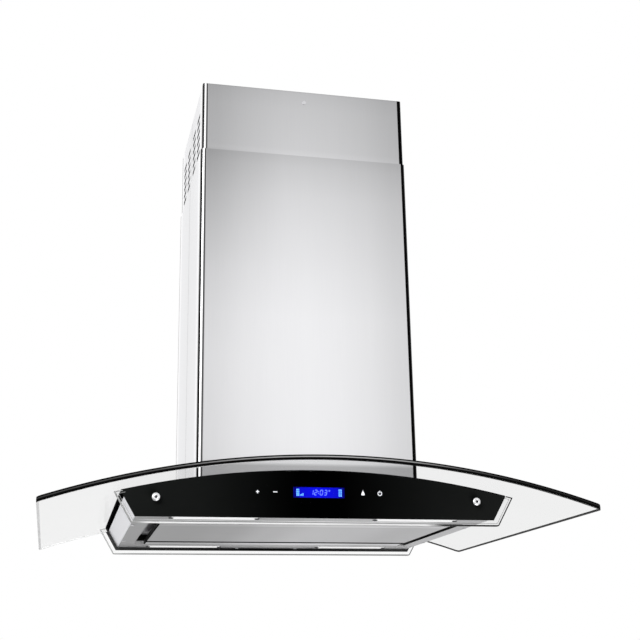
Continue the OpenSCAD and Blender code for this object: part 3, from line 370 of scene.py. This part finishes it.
def brushed_underside(name):
    """Brushed steel of the underside: material, tree, shader, its plain colour and the one shaded across."""
    material, tree, shader = new_material(name)
    shader.inputs["Metallic"].default_value = 1
    lines = noise(tree, 1100, (0.012, 1, 1), detail=3)
    patches = noise(tree, 4, detail=2)
    blend = math_node(tree, "MULTIPLY_ADD", lines, 0.6, math_node(tree, "MULTIPLY", patches, 0.4))
    flat = ramp(tree, blend, [(0.3, (0.47, 0.47, 0.48)), (0.7, (0.54, 0.54, 0.552))])
    x = split_coords(tree, "Object")["X"]
    across = across_width(tree, x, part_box("bottom_frame")[1].x)
    shaded = times(tree, flat, ramp(tree, across, UNDER_FALL, smooth=True))
    tree.links.new(ramp(tree, lines, [(0.25, 0.3), (0.75, 0.4)]), shader.inputs["Roughness"])
    add_bump(tree, shader, lines, 0.05, 0.0002)
    return material, tree, shader, flat, shaded


def panel_steel(name):
    """Panel that swings: painted highlights along its edges and painted shadow lines below, and painted shade
    on upright edges, apart from a painted glint at the front.
    """
    material, tree, shader, flat, under = brushed_underside(name)
    shader.inputs["IOR"].default_value = NO_GLARE
    x, y, z = split_coords(tree, "Object")
    nx, ny, nz = split_coords(tree, "Normal")
    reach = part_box("suction_panel")[1]
    depth = across_width(tree, y, reach.y)
    outside = below(tree, nz, -0.5)
    # painted shadow lines near the back and at each end of the underside
    at_end = above(tree, absolute(tree, x), reach.x - END_SHADE_LINE)
    shade_lines = math_node(tree, "MAXIMUM", at_end, ramp(tree, depth, REAR_SHADE_LINE))
    gap_shade = math_node(tree, "MULTIPLY", outside, shade_lines)
    # painted highlights along the front and back edges
    edge_lit = times(tree, under, ramp(tree, depth, PANEL_EDGE_HIGHLIGHTS))
    level = mixed(tree, outside, flat, mixed(tree, gap_shade, edge_lit, LINE_BLACK))
    # upright faces get painted shade, and the front one a painted glint
    glint = math_node(tree, "MULTIPLY", below(tree, ny, -0.5), below(tree, y, 2 * MM - reach.y))
    upright = below(tree, absolute(tree, nz), 0.5)
    colour = mixed(tree, upright, level, mixed(tree, glint, INSIDE_SHADE, GLINT))
    tree.links.new(colour, shader.inputs["Base Color"])
    tree.links.new(math_node(tree, "SUBTRACT", 1.0, gap_shade), shader.inputs["Metallic"])
    return material


def frame_steel(name):
    """Fixed underside frame, with painted shade inside the intake but for a painted glint on a low edge that
    faces the front.
    """
    material, tree, shader, flat, under = brushed_underside(name)
    x, y, z = split_coords(tree, "Object")
    nx, ny, nz = split_coords(tree, "Normal")
    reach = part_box("suction_panel")[1]
    floor_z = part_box("bottom_frame")[0].z
    inside_x = below(tree, absolute(tree, x), reach.x + 30 * MM)
    inside_y = below(tree, absolute(tree, y), reach.x)
    hidden = math_node(tree, "MAXIMUM", above(tree, z, floor_z + 1 * MM), above(tree, nz, -0.5))
    # painted shade on faces inside the intake, and a painted glint low on the edge that faces the front
    wall = math_node(tree, "MULTIPLY", hidden, math_node(tree, "MULTIPLY", inside_x, inside_y))
    low_edge = math_node(tree, "MULTIPLY", below(tree, ny, -0.5), below(tree, z, floor_z + GLINT_H))
    colour = mixed(tree, wall, under, mixed(tree, low_edge, INSIDE_SHADE, GLINT))
    tree.links.new(colour, shader.inputs["Base Color"])
    return material


def painted_metal(slot, light, dark, roughness, scale=40):
    """Plated or painted sheet with faint mottling."""
    material, tree, shader = new_material(slot)
    shader.inputs["Metallic"].default_value = 1
    mottle = noise(tree, scale, detail=5)
    rough = ramp(tree, mottle, [(0.3, roughness - 0.05), (0.7, roughness + 0.07)])
    tree.links.new(ramp(tree, mottle, [(0.3, dark), (0.7, light)]), shader.inputs["Base Color"])
    tree.links.new(rough, shader.inputs["Roughness"])
    add_bump(tree, shader, noise(tree, 600, detail=2), 0.05, 0.0003)
    return material


def moulded(slot, light, dark, roughness, grain=1500, depth=0.12, ior=1.5):
    """Moulded plastic or rubber with a fine grain."""
    material, tree, shader = new_material(slot)
    shader.inputs["IOR"].default_value = ior
    mottle = noise(tree, 60, detail=3)
    rough = ramp(tree, mottle, [(0.3, roughness - 0.05), (0.7, roughness + 0.05)])
    tree.links.new(ramp(tree, mottle, [(0.3, dark), (0.7, light)]), shader.inputs["Base Color"])
    tree.links.new(rough, shader.inputs["Roughness"])
    add_bump(tree, shader, noise(tree, grain, detail=2), depth, 0.0002)
    return material


def clear_glass(slot, tint, ior):
    """Clear coated glass that lets light through its shadow, with faint unevenness."""
    material, tree, shader = new_material(slot)
    shader.inputs["Transmission Weight"].default_value = 1
    shader.inputs["IOR"].default_value = ior
    cloud = noise(tree, 4, detail=2)
    low = tuple(c - 0.012 for c in tint)
    tree.links.new(ramp(tree, cloud, [(0.3, low), (0.7, tint)]), shader.inputs["Base Color"])
    tree.links.new(ramp(tree, noise(tree, 25), [(0.3, 0.0), (0.8, 0.012)]), shader.inputs["Roughness"])
    output = tree.nodes["Material Output"]
    path = tree.nodes.new("ShaderNodeLightPath")
    through = tree.nodes.new("ShaderNodeBsdfTransparent")
    through.inputs["Color"].default_value = (0.88, 0.9, 0.89, 1)
    switch = tree.nodes.new("ShaderNodeMixShader")
    tree.links.new(path.outputs["Is Shadow Ray"], switch.inputs["Fac"])
    tree.links.new(shader.outputs["BSDF"], switch.inputs[1])
    tree.links.new(through.outputs["BSDF"], switch.inputs[2])
    tree.links.new(switch.outputs["Shader"], output.inputs["Surface"])
    return material


def glass_edge(name, reach, stops):
    """Polished edge of the glass, with painted shade and highlight toned by its place across the hood from
    -reach to reach.

    It is clear when it is looked at through the glass."""
    material, tree, shader = new_material(name)
    material.use_backface_culling = True
    x = split_coords(tree, "Object")["X"]
    # painted shade and highlight by place across the hood
    tone = ramp(tree, across_width(tree, x, reach), stops)
    cloud = ramp(tree, noise(tree, 30, detail=3), [(0.3, 0.85), (0.7, 1.0)])
    tree.links.new(times(tree, tone, cloud), shader.inputs["Base Color"])
    shader.inputs["Roughness"].default_value = 0.45
    shader.inputs["Specular IOR Level"].default_value = 0.03
    geometry = tree.nodes.new("ShaderNodeNewGeometry")
    through = tree.nodes.new("ShaderNodeBsdfTransparent")
    switch = tree.nodes.new("ShaderNodeMixShader")
    tree.links.new(geometry.outputs["Backfacing"], switch.inputs["Fac"])
    tree.links.new(shader.outputs["BSDF"], switch.inputs[1])
    tree.links.new(through.outputs["BSDF"], switch.inputs[2])
    tree.links.new(switch.outputs["Shader"], tree.nodes["Material Output"].inputs["Surface"])
    return material


def black_print(slot):
    """Black ceramic ink fired on the back of the glass."""
    material, tree, shader = new_material(slot)
    cloud = noise(tree, 9, detail=3)
    x = split_coords(tree, "Object")["X"]
    across = math_node(tree, "DIVIDE", absolute(tree, x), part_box("front_print")[1].x)
    # painted reflection: the black print is lighter from the middle towards both ends
    tone = ramp(tree, across, [(0.0, 0.0006), (0.12, 0.001), (0.25, 0.009), (0.4, 0.02), (0.6, 0.036),
                               (1.0, 0.055)])
    speckle = ramp(tree, cloud, [(0.3, 0.85), (0.7, 1.0)])
    tree.links.new(times(tree, tone, speckle), shader.inputs["Base Color"])
    tree.links.new(ramp(tree, cloud, [(0.3, 0.3), (0.7, 0.4)]), shader.inputs["Roughness"])
    shader.inputs["Specular IOR Level"].default_value = 0.04
    return material


def glowing(name, low, high, strength):
    """Lit ink or a lit display, slightly uneven."""
    material, tree, shader = new_material(name)
    cloud = noise(tree, 300, detail=2)
    colour = ramp(tree, cloud, [(0.3, low), (0.7, high)])
    tree.links.new(colour, shader.inputs["Base Color"])
    tree.links.new(colour, shader.inputs["Emission Color"])
    tree.links.new(ramp(tree, cloud, [(0.3, 0.35), (0.7, 0.45)]), shader.inputs["Roughness"])
    shader.inputs["Emission Strength"].default_value = strength
    return material


def display_face(slot):
    """Blue backlit display, brighter in the middle and fading at its edges."""
    material, tree, shader = new_material(slot)
    along = math_node(tree, "SUBTRACT", split_coords(tree, "Object")["X"], CONTROL_X)
    reach = math_node(tree, "DIVIDE", absolute(tree, along), DISPLAY_W / 2)
    cloud = math_node(tree, "MULTIPLY_ADD", noise(tree, 120, detail=2), 0.12, reach)
    colour = ramp(tree, cloud, [(0.0, (0.003, 0.004, 0.5)), (0.8, (0.003, 0.004, 0.4)),
                                (1.05, (0.0, 0.0, 0.16))])
    tree.links.new(colour, shader.inputs["Base Color"])
    tree.links.new(colour, shader.inputs["Emission Color"])
    tree.links.new(ramp(tree, cloud, [(0.0, 0.3), (1.0, 0.4)]), shader.inputs["Roughness"])
    shader.inputs["Emission Strength"].default_value = 0.9
    return material


def lamp_diffuser(slot):
    """Frosted white diffuser with a prismatic ripple."""
    material, tree, shader = new_material(slot)
    cloud = noise(tree, 18, (1, 3, 1), detail=2)
    colour = ramp(tree, cloud, [(0.3, (0.82, 0.82, 0.83)), (0.7, (0.93, 0.93, 0.93))])
    tree.links.new(colour, shader.inputs["Base Color"])
    tree.links.new(colour, shader.inputs["Emission Color"])
    shader.inputs["Emission Strength"].default_value = 0.38
    tree.links.new(ramp(tree, cloud, [(0.3, 0.3), (0.7, 0.45)]), shader.inputs["Roughness"])
    ridge = tree.nodes.new("ShaderNodeTexWave")
    ridge.inputs["Scale"].default_value = 90
    tree.links.new(object_coords(tree), ridge.inputs["Vector"])
    add_bump(tree, shader, ridge.outputs["Fac"], 0.15, 0.0004)
    return material


def circuit_board(slot):
    """Green lacquered board with fine tracks."""
    material, tree, shader = new_material(slot)
    tracks = tree.nodes.new("ShaderNodeTexBrick")
    tracks.inputs["Scale"].default_value = 160
    tracks.inputs["Color1"].default_value = (0.02, 0.16, 0.06, 1)
    tracks.inputs["Color2"].default_value = (0.03, 0.22, 0.09, 1)
    tracks.inputs["Mortar"].default_value = (0.35, 0.3, 0.12, 1)
    tree.links.new(object_coords(tree), tracks.inputs["Vector"])
    tree.links.new(tracks.outputs["Color"], shader.inputs["Base Color"])
    tree.links.new(ramp(tree, tracks.outputs["Fac"], [(0.0, 0.35), (1.0, 0.25)]), shader.inputs["Roughness"])
    return material


def cover_half(level):
    """Half the width and half the depth of the upper or lower chimney cover."""
    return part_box(level + "_cover_rear")[1].xy


def slot_materials():
    """One material for each slot of the record."""
    return {
        "brushed_cover": chimney_steel("brushed_cover", *cover_half("lower"), LOWER_FALL),
        "body_steel": brushed_steel("body_steel", (0.68, 0.68, 0.69), (0.58, 0.58, 0.59), 0, 0.3),
        "zinc_steel": painted_metal("zinc_steel", (0.63, 0.64, 0.66), (0.5, 0.51, 0.53), 0.38),
        "bolt_steel": painted_metal("bolt_steel", (0.72, 0.72, 0.74), (0.6, 0.6, 0.62), 0.25, scale=200),
        "clear_glass": clear_glass("clear_glass", (0.876, 0.878, 0.877), GLASS_IOR),
        "black_print": black_print("black_print"),
        "black_rubber": moulded("black_rubber", (0.012, 0.012, 0.013), (0.006, 0.006, 0.007), 0.6,
                                ior=NO_GLARE),
        "polished_chrome": painted_metal("polished_chrome", (0.93, 0.93, 0.94), (0.85, 0.85, 0.87), 0.1,
                                         scale=90),
        "display_blue": display_face("display_blue"),
        "circuit_green": circuit_board("circuit_green"),
        "dark_plastic": moulded("dark_plastic", (0.04, 0.04, 0.045), (0.02, 0.02, 0.024), 0.5),
        "lamp_white": lamp_diffuser("lamp_white"),
        "white_plastic": moulded("white_plastic", (0.85, 0.85, 0.83), (0.78, 0.78, 0.76), 0.45),
        "filter_aluminium": painted_metal("filter_aluminium", (0.6, 0.6, 0.62), (0.4, 0.4, 0.42), 0.35,
                                          scale=300),
        "motor_iron": moulded("motor_iron", (0.03, 0.03, 0.033), (0.015, 0.015, 0.018), 0.55, grain=500,
                              depth=0.3),
    }


# ---------------------------------------------------------------- mesh helpers

def piece(name, bm, body, materials, smooth_angle=None):
    """Turns a bmesh into an object that rides on a CAD body."""
    mesh = bpy.data.meshes.new(name)
    bm.to_mesh(mesh)
    bm.free()
    obj = bpy.data.objects.new(name, mesh)
    bpy.context.scene.collection.objects.link(obj)
    for material in materials:
        mesh.materials.append(material)
    if smooth_angle is not None:
        mesh.shade_smooth()
        mesh.set_sharp_from_angle(angle=math.radians(smooth_angle))
    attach(obj, body)
    return obj


def add_strip(bm, rings, material=0, closed=True):
    """Quads between each ring of points and the next."""
    loops = [[bm.verts.new(p) for p in ring] for ring in rings]
    count = len(loops[0])
    for first, second in zip(loops, loops[1:]):
        for i in range(count if closed else count - 1):
            j = (i + 1) % count
            face = bm.faces.new((first[i], first[j], second[j], second[i]))
            face.material_index = material
    return loops


def rounded_outline(half_x, half_y, r, step):
    """Points of a rounded rectangle, anticlockwise from above, with a point every step along X."""
    arc_steps = 8
    points = []
    for sx, sy, start in ((1, -1, 270), (1, 1, 0), (-1, 1, 90), (-1, -1, 180)):
        for k in range(arc_steps + 1):
            a = math.radians(start + k * 90 / arc_steps)
            points.append((sx * (half_x - r) + r * math.cos(a), sy * (half_y - r) + r * math.sin(a)))
    full = []
    for (x0, y0), (x1, y1) in zip(points, points[1:] + points[:1]):
        parts = max(1, math.ceil(abs(x1 - x0) / step))
        for k in range(parts):
            full.append((x0 + (x1 - x0) * k / parts, y0 + (y1 - y0) * k / parts))
    return full


def on_bend(x, y, height):
    """A point that stands height above the canopy's lower face."""
    r = BEND_R + height
    return Vector((x, y, BEND_Z + math.sqrt(r * r - x * x)))


def canopy_rim(dark, highlight, line):
    """Polished edge all round the canopy in painted shade, with a painted highlight line along it and a fine
    painted line under the glass.
    """
    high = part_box("canopy_glass")[1]
    half_x, half_y = high.x, high.y
    profile = [(0.02 * MM, 0.0), (0.6 * RIM_BULGE, 0.1), (RIM_BULGE, 0.5), (RIM_BULGE, 0.72),
               (0.6 * RIM_BULGE, 0.9), (0.02 * MM, 1.0)]
    # material 1 is the painted highlight line; the other bands are the edge's painted shade
    bands = [0, 0, 1, 0, 0]

    def ring(out, height):
        outline = rounded_outline(half_x + out, half_y + out, CANOPY_CORNER + out, 12 * MM)
        return [on_bend(x, y, height) for x, y in outline]

    rings = [ring(out, share * GLASS_T) for out, share in profile]
    bm = bmesh.new()
    for band, first, second in zip(bands, rings, rings[1:]):
        add_strip(bm, [first, second], band)
    bmesh.ops.remove_doubles(bm, verts=bm.verts, dist=1e-7)
    # fine painted lines at the foot of the edge, light at the left and dark towards the right
    add_strip(bm, [ring(-LINE_W, -SKIN), ring(0, -SKIN)], 2)
    add_strip(bm, [ring(-SKIN, LINE_W), ring(-SKIN, 0)], 2)
    return piece("canopy_rim", bm, "hood", [dark, highlight, line], 40)


def panel_points(inset):
    """Outline of a glass end panel as (x, z), drawn in by inset."""
    low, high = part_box("front_glass")
    bottom = low.z + inset
    half = PANEL_HALF - inset / math.cos(PANEL_LEAN)
    radius = BEND_R - PANEL_TOP_GAP - inset
    corner = max(PANEL_CORNER - inset, 0.5 * MM)
    corner_turn = math.pi / 2 - PANEL_LEAN
    corner_steps, top_steps = 6, 60

    def side(z):
        return half + (z - low.z) * math.tan(PANEL_LEAN)

    # where the leaning side meets the bend, found by repetition
    top = high.z
    for _ in range(30):
        top = BEND_Z + math.sqrt(radius ** 2 - side(top) ** 2)
    reach = side(top)
    tangent = corner * math.tan(corner_turn / 2)
    centre_x, centre_z = side(bottom) - tangent, bottom + corner
    points = []
    for k in range(corner_steps + 1):
        a = -math.pi / 2 + corner_turn * k / corner_steps
        points.append((centre_x + corner * math.cos(a), centre_z + corner * math.sin(a)))
    for k in range(top_steps + 1):
        x = reach * (1 - 2 * k / top_steps)
        points.append((x, BEND_Z + math.sqrt(radius ** 2 - x * x)))
    for x, z in reversed(points[:corner_steps + 1]):
        points.append((-x, z))
    return points


def panel_outline(name, side, rim, line, ink):
    """Polished edge of a glass end panel and the fine lines of its bevel, in painted shade and highlight, and
    the rear print's border.

    side is -1 for the front panel and 1 for the rear one."""
    low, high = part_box("rear_glass")
    back, face = low.y, high.y
    open_count = 9
    bm = bmesh.new()

    def ring(inset, y):
        """Bottom, corners and sides of the outline, without its top."""
        points = panel_points(inset)
        return [(x, side * y, z) for x, z in points[-open_count:] + points[:open_count]]

    def ribbon(start, end, y, material):
        add_strip(bm, [ring(start, y), ring(end, y)], material, closed=False)

    add_strip(bm, [ring(-SKIN, back), ring(-SKIN, face)], 0, closed=False)
    # painted highlight and shade along the bevel
    ribbon(-SKIN, BEVEL_W, face + SKIN, 1)
    ribbon(*BEVEL_LINE, face + SKIN, 1)
    if side > 0:
        ribbon(BEVEL_W, -SKIN, back - SKIN, 1)
        ribbon(PRINT_INSET, PRINT_INSET - PRINT_BORDER, back - 3 * SKIN, 2)
        bmesh.ops.reverse_faces(bm, faces=bm.faces)
    return piece(name, bm, "hood", [rim, line, ink], 40)


def lens_clips(metal):
    """Small domed catches at both ends of each lamp lens."""
    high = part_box("lamp_lenses")[1]
    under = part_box("bottom_frame")[0].z
    count = 24
    turns = [2 * math.pi * k / count for k in range(count)]
    profile = [(CATCH_R, 0), (0.9 * CATCH_R, 0.6 * CATCH_H), (0.6 * CATCH_R, CATCH_H),
               (0.05 * CATCH_R, CATCH_H)]
    bm = bmesh.new()
    for sx in (-1, 1):
        for sy in (-1, 1):
            y = sy * (high.y - LENS_TRIM_Y - LENS_W / 2)
            for x in (high.x - LENS_TRIM, high.x - LENS_TRIM - LENS_L):
                add_strip(bm, [[(sx * x + r * math.cos(a), y - r * math.sin(a), under - drop) for a in turns]
                               for r, drop in profile])
    return piece("lens_clips", bm, "hood", [metal], 50)


def lathe(bm, profile, centre, axis_y):
    """Turns a profile of (radius, reach) about an axis along Y; axis_y is the outward sign."""
    count = 48
    rings = []
    for radius, reach in profile:
        ring = []
        for k in range(count):
            a = 2 * math.pi * k / count * axis_y
            ring.append(centre + Vector((radius * math.cos(a), axis_y * reach, radius * math.sin(a))))
        rings.append(ring)
    return add_strip(bm, rings)


def cap_screws(chrome, dark):
    """Domed chrome caps with a recessed centre, one at each end of both glass panels."""
    low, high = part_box("glass_cap_screws")
    panel_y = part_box("rear_glass")[1].y
    centre_x = high.x - CAP_R
    centre_z = (low.z + high.z) / 2
    dome = [(radius * MM, reach * MM) for radius, reach in CAP_DOME]
    bm = bmesh.new()
    for side in (-1, 1):
        for x in (-centre_x, centre_x):
            loops = lathe(bm, dome, Vector((x, side * panel_y, centre_z)), side)
            for face in {f for v in loops[-1] for f in v.link_faces}:
                face.material_index = 1
    bmesh.ops.recalc_face_normals(bm, faces=bm.faces)
    return piece("cap_screws", bm, "hood", [chrome, dark], 35)


def flat_shape(bm, points, y):
    """Face in the plane of the controls, seen from the front, from (x, z) points."""
    face = bm.faces.new([bm.verts.new((x, y, z)) for x, z in points])
    if face.normal.y > 0:
        face.normal_flip()


def ring_shape(bm, x, z, outer, inner, start, end, y):
    """Arc of a ring, from start to end in degrees."""
    steps = 24
    angles = [math.radians(start + (end - start) * k / steps) for k in range(steps + 1)]
    for a, b in zip(angles, angles[1:]):
        flat_shape(bm, [(x + inner * math.cos(a), z + inner * math.sin(a)),
                        (x + outer * math.cos(a), z + outer * math.sin(a)),
                        (x + outer * math.cos(b), z + outer * math.sin(b)),
                        (x + inner * math.cos(b), z + inner * math.sin(b))], y)


def bar_block(bm, x0, x1, z0, z1, y):
    """Rectangle in the plane of the controls."""
    flat_shape(bm, [(x0, z0), (x1, z0), (x1, z1), (x0, z1)], y)


# Segments that each digit lights, and each segment's ends in digit widths and half heights
SEGMENTS = {"0": "abcdef", "1": "bc", "2": "abged", "3": "abgcd"}
BARS = {"a": (0, 2, 1, 2), "g": (0, 1, 1, 1), "d": (0, 0, 1, 0), "f": (0, 1, 0, 2), "b": (1, 1, 1, 2),
        "e": (0, 0, 0, 1), "c": (1, 0, 1, 1)}


def digit(bm, char, x, z, y):
    """Seven-segment digit whose lower left corner is at x, z."""
    s, g = DIGIT_STROKE / 2, DIGIT_STROKE * 0.15
    for name in SEGMENTS[char]:
        x0, z0, x1, z1 = BARS[name]
        ax, az, bx, bz = x0 * DIGIT_W, z0 * DIGIT_H / 2, x1 * DIGIT_W, z1 * DIGIT_H / 2
        if az == bz:
            shape = [(ax + g, az), (ax + g + s, az - s), (bx - g - s, az - s), (bx - g, az),
                     (bx - g - s, az + s), (ax + g + s, az + s)]
        else:
            shape = [(ax, az + g), (ax + s, az + g + s), (ax + s, bz - g - s), (ax, bz - g),
                     (ax - s, bz - g - s), (ax - s, az + g + s)]
        flat_shape(bm, [(x + px + DIGIT_SLANT * pz, z + pz) for px, pz in shape], y)


def display_marks(ink_y, centre_z, light):
    """Time and a degree mark on the display."""
    bm = bmesh.new()
    z = centre_z - DIGIT_H / 2
    for char, x in (("1", -14.5), ("2", -8), ("0", 1.5), ("3", 8.5)):
        digit(bm, char, CONTROL_X + x * MM, z, ink_y)
    for share in (0.3, 0.68):
        cx, cz = CONTROL_X - 1 * MM, z + DIGIT_H * share
        bar_block(bm, cx - DOT_HALF, cx + DOT_HALF, cz - DOT_HALF, cz + DOT_HALF, ink_y)
    ring_shape(bm, CONTROL_X + 17.5 * MM, centre_z + 3 * MM, 1.3 * MM, 0.6 * MM, 0, 360, ink_y)
    return piece("display_digits", bm, "hood", [light])


def display_icons(ink_y, centre_z, cyan):
    """Small lit symbols: a stack with three rising bars at the display's left, two stacks at its right."""
    rows, row_h = 4, 2.2 * MM
    bm = bmesh.new()
    left, foot = CONTROL_X - 38 * MM, centre_z - 5.6 * MM
    for row in range(rows):
        z = foot + row * 3 * MM
        bar_block(bm, left, left + 5 * MM, z, z + row_h, ink_y)
    for k in range(3):
        x = left + 6 * MM + k * 2.2 * MM
        bar_block(bm, x, x + 1.5 * MM, foot, centre_z - (3.6 - 1.1 * k) * MM, ink_y)
    right, foot = CONTROL_X + 33 * MM, centre_z - 6 * MM
    for row in range(rows):
        z = foot + row * 3.1 * MM
        bar_block(bm, right, right + 2.2 * MM, z, z + row_h, ink_y)
        bar_block(bm, right + 3 * MM, right + 5.4 * MM, z, z + row_h, ink_y)
    return piece("display_icons", bm, "hood", [cyan])


def key_marks(ink_y, centre_z, white):
    """Plus, minus, lamp and power marks of the touch keys."""
    bm = bmesh.new()
    arm, half = 2.7 * MM, 0.75 * MM
    x = CONTROL_X + KEYS["plus"]
    bar_block(bm, x - arm, x + arm, centre_z - half, centre_z + half, ink_y)
    bar_block(bm, x - half, x + half, centre_z + half, centre_z + arm, ink_y)
    bar_block(bm, x - half, x + half, centre_z - arm, centre_z - half, ink_y)
    x = CONTROL_X + KEYS["minus"]
    bar_block(bm, x - 3.4 * MM, x + 3.4 * MM, centre_z - half, centre_z + half, ink_y)
    x = CONTROL_X + KEYS["drop"]
    drop = [(0, 5.4), (0.8, 3.2), (1.8, 1.2), (2.8, -0.6), (3.0, -2.2), (2.2, -3.4), (-2.2, -3.4),
            (-3.0, -2.2), (-2.8, -0.6), (-1.8, 1.2), (-0.8, 3.2)]
    flat_shape(bm, [(x + px * MM, centre_z + pz * MM) for px, pz in drop], ink_y)
    x = CONTROL_X + KEYS["power"]
    ring_shape(bm, x, centre_z, 3.9 * MM, 2.6 * MM, 115, 425, ink_y)
    bar_block(bm, x - 0.6 * MM, x + 0.6 * MM, centre_z + 0.8 * MM, centre_z + 4.8 * MM, ink_y)
    return piece("key_marks", bm, "hood", [white])


# ---------------------------------------------------------------- stage

def floor():
    """Plain pale floor, well below the hood."""
    bm = bmesh.new()
    corners = ((-FLOOR_REACH, -FLOOR_REACH), (FLOOR_REACH, -FLOOR_REACH), (FLOOR_REACH, FLOOR_REACH),
               (-FLOOR_REACH, FLOOR_REACH))
    bm.faces.new([bm.verts.new((x, y, FLOOR_Z)) for x, y in corners])
    mesh = bpy.data.meshes.new("floor")
    bm.to_mesh(mesh)
    bm.free()
    obj = bpy.data.objects.new("floor", mesh)
    bpy.context.scene.collection.objects.link(obj)
    material, tree, shader = new_material("floor_paint")
    shader.inputs["Roughness"].default_value = 0.9
    tree.links.new(ramp(tree, noise(tree, 2), [(0.3, 0.78), (0.7, 0.82)]), shader.inputs["Base Color"])
    mesh.materials.append(material)


def world():
    """White studio: strength 1 as seen, mirrored or seen through glass, and softer as a light."""
    scene = bpy.context.scene
    scene.world = bpy.data.worlds.new("studio")
    scene.world.use_nodes = True
    tree = scene.world.node_tree
    path = tree.nodes.new("ShaderNodeLightPath")
    by_glass = math_node(tree, "MAXIMUM", path.outputs["Is Glossy Ray"], path.outputs["Is Transmission Ray"])
    seen = math_node(tree, "MAXIMUM", path.outputs["Is Camera Ray"], by_glass)
    background = tree.nodes["Background"]
    background.inputs["Color"].default_value = (1, 1, 1, 1)
    strength = math_node(tree, "MULTIPLY_ADD", seen, 0.4, 0.6)
    tree.links.new(strength, background.inputs["Strength"])


def area_lamp(name, spot, aim, size, power):
    """Soft rectangular lamp at spot that shines at aim."""
    data = bpy.data.lights.new(name, "AREA")
    data.shape = "RECTANGLE"
    data.size, data.size_y = size
    data.energy = power
    obj = bpy.data.objects.new(name, data)
    bpy.context.scene.collection.objects.link(obj)
    obj.location = spot
    obj.rotation_euler = (Vector(aim) - Vector(spot)).to_track_quat("-Z", "Y").to_euler()


def lamps():
    """A soft lamp from the upper left and a weaker one from below the front."""
    area_lamp("key", (-1.8, -2.6, 0.6), (0, 0, -0.5), (1.6, 1.6), 30)
    area_lamp("low", (0.6, -1.6, -2.2), (0, 0, -0.8), (1.6, 1.2), 12)


def camera():
    """Camera at the photograph's angle, aimed by its yaw, pitch and roll."""
    data = bpy.data.cameras.new("photo")
    data.lens = CAMERA_LENS
    data.sensor_width = 36
    obj = bpy.data.objects.new("photo", data)
    bpy.context.scene.collection.objects.link(obj)
    yaw, pitch, roll = CAMERA_YAW, CAMERA_PITCH, CAMERA_ROLL
    ahead = Vector((math.sin(yaw) * math.cos(pitch), math.cos(yaw) * math.cos(pitch), math.sin(pitch)))
    right = Vector((math.cos(yaw), -math.sin(yaw), 0))
    up = right.cross(ahead)
    side = right * math.cos(roll) + up * math.sin(roll)
    top = up * math.cos(roll) - right * math.sin(roll)
    turn = Matrix((side, top, -ahead)).transposed()
    obj.matrix_world = Matrix.Translation(CAMERA_AT) @ turn.to_4x4()
    bpy.context.scene.camera = obj


# ---------------------------------------------------------------- build

def dress_nodes(frame, materials):
    """Gives each CAD node its slot's material, or a painted one of its own."""
    for part in frame["record"]["subparts"]:
        obj = frame["nodes"][part["node"]]
        obj.data.materials.clear()
        obj.data.materials.append(materials[part["material_slot"]])

    upper = chimney_steel("brushed_cover_upper", *cover_half("upper"), UPPER_FALL)
    shell = shell_steel("shell_steel")
    under = frame_steel("underside_steel")
    swinging = panel_steel("panel_steel")
    panes = clear_glass("clear_panes", (0.95, 0.952, 0.951), GLASS_IOR)
    own = {"upper_cover_front": upper, "upper_cover_rear": upper, "hood_shell": shell, "bottom_frame": under,
           "suction_panel": swinging, "suction_rim": swinging, "front_glass": panes, "rear_glass": panes}
    for node, material in own.items():
        frame["nodes"][node].data.materials[0] = material


def glass_lines(ink):
    """Edges and fine lines of the canopy and of the glass end panels, in painted shade and highlights."""
    half_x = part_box("canopy_glass")[1].x
    dark = glass_edge("glass_edge_dark", half_x, EDGE_DARK)
    highlight = glass_edge("glass_edge_highlight", half_x, EDGE_HIGHLIGHT)
    under_line = glass_edge("glass_under_line", half_x, EDGE_BELOW)
    canopy_rim(dark, highlight, under_line)
    front_line = glass_edge("front_panel_line", half_x, FRONT_LINE)
    rear_line = glass_edge("rear_panel_line", half_x, BACK_LINE)
    panel_outline("front_outline", -1, front_line, front_line, ink)
    panel_outline("rear_outline", 1, rear_line, rear_line, ink)


def controls():
    """Lit marks on the display and the touch keys, just in front of the glass."""
    low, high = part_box("display_module")
    centre_z = (low.z + high.z) / 2
    ink_y = low.y - INK_GAP
    display_marks(ink_y, centre_z, glowing("digit_light", (0.11, 0.18, 0.95), (0.14, 0.21, 1.0), 0.75))
    display_icons(ink_y, centre_z, glowing("icon_light", (0.06, 0.27, 1.0), (0.12, 0.39, 1.0), 0.8))
    key_marks(ink_y, centre_z, glowing("key_light", (0.47, 0.475, 0.5), (0.53, 0.54, 0.57), 0.9))


def main():
    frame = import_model()
    materials = slot_materials()
    dress_nodes(frame, materials)
    glass_lines(materials["black_print"])
    lens_clips(materials["dark_plastic"])
    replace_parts(cap_screws(materials["polished_chrome"], materials["dark_plastic"]), "glass_cap_screws")
    controls()

    floor()
    world()
    lamps()
    camera()
    bpy.context.scene.view_settings.view_transform = "Standard"


main()
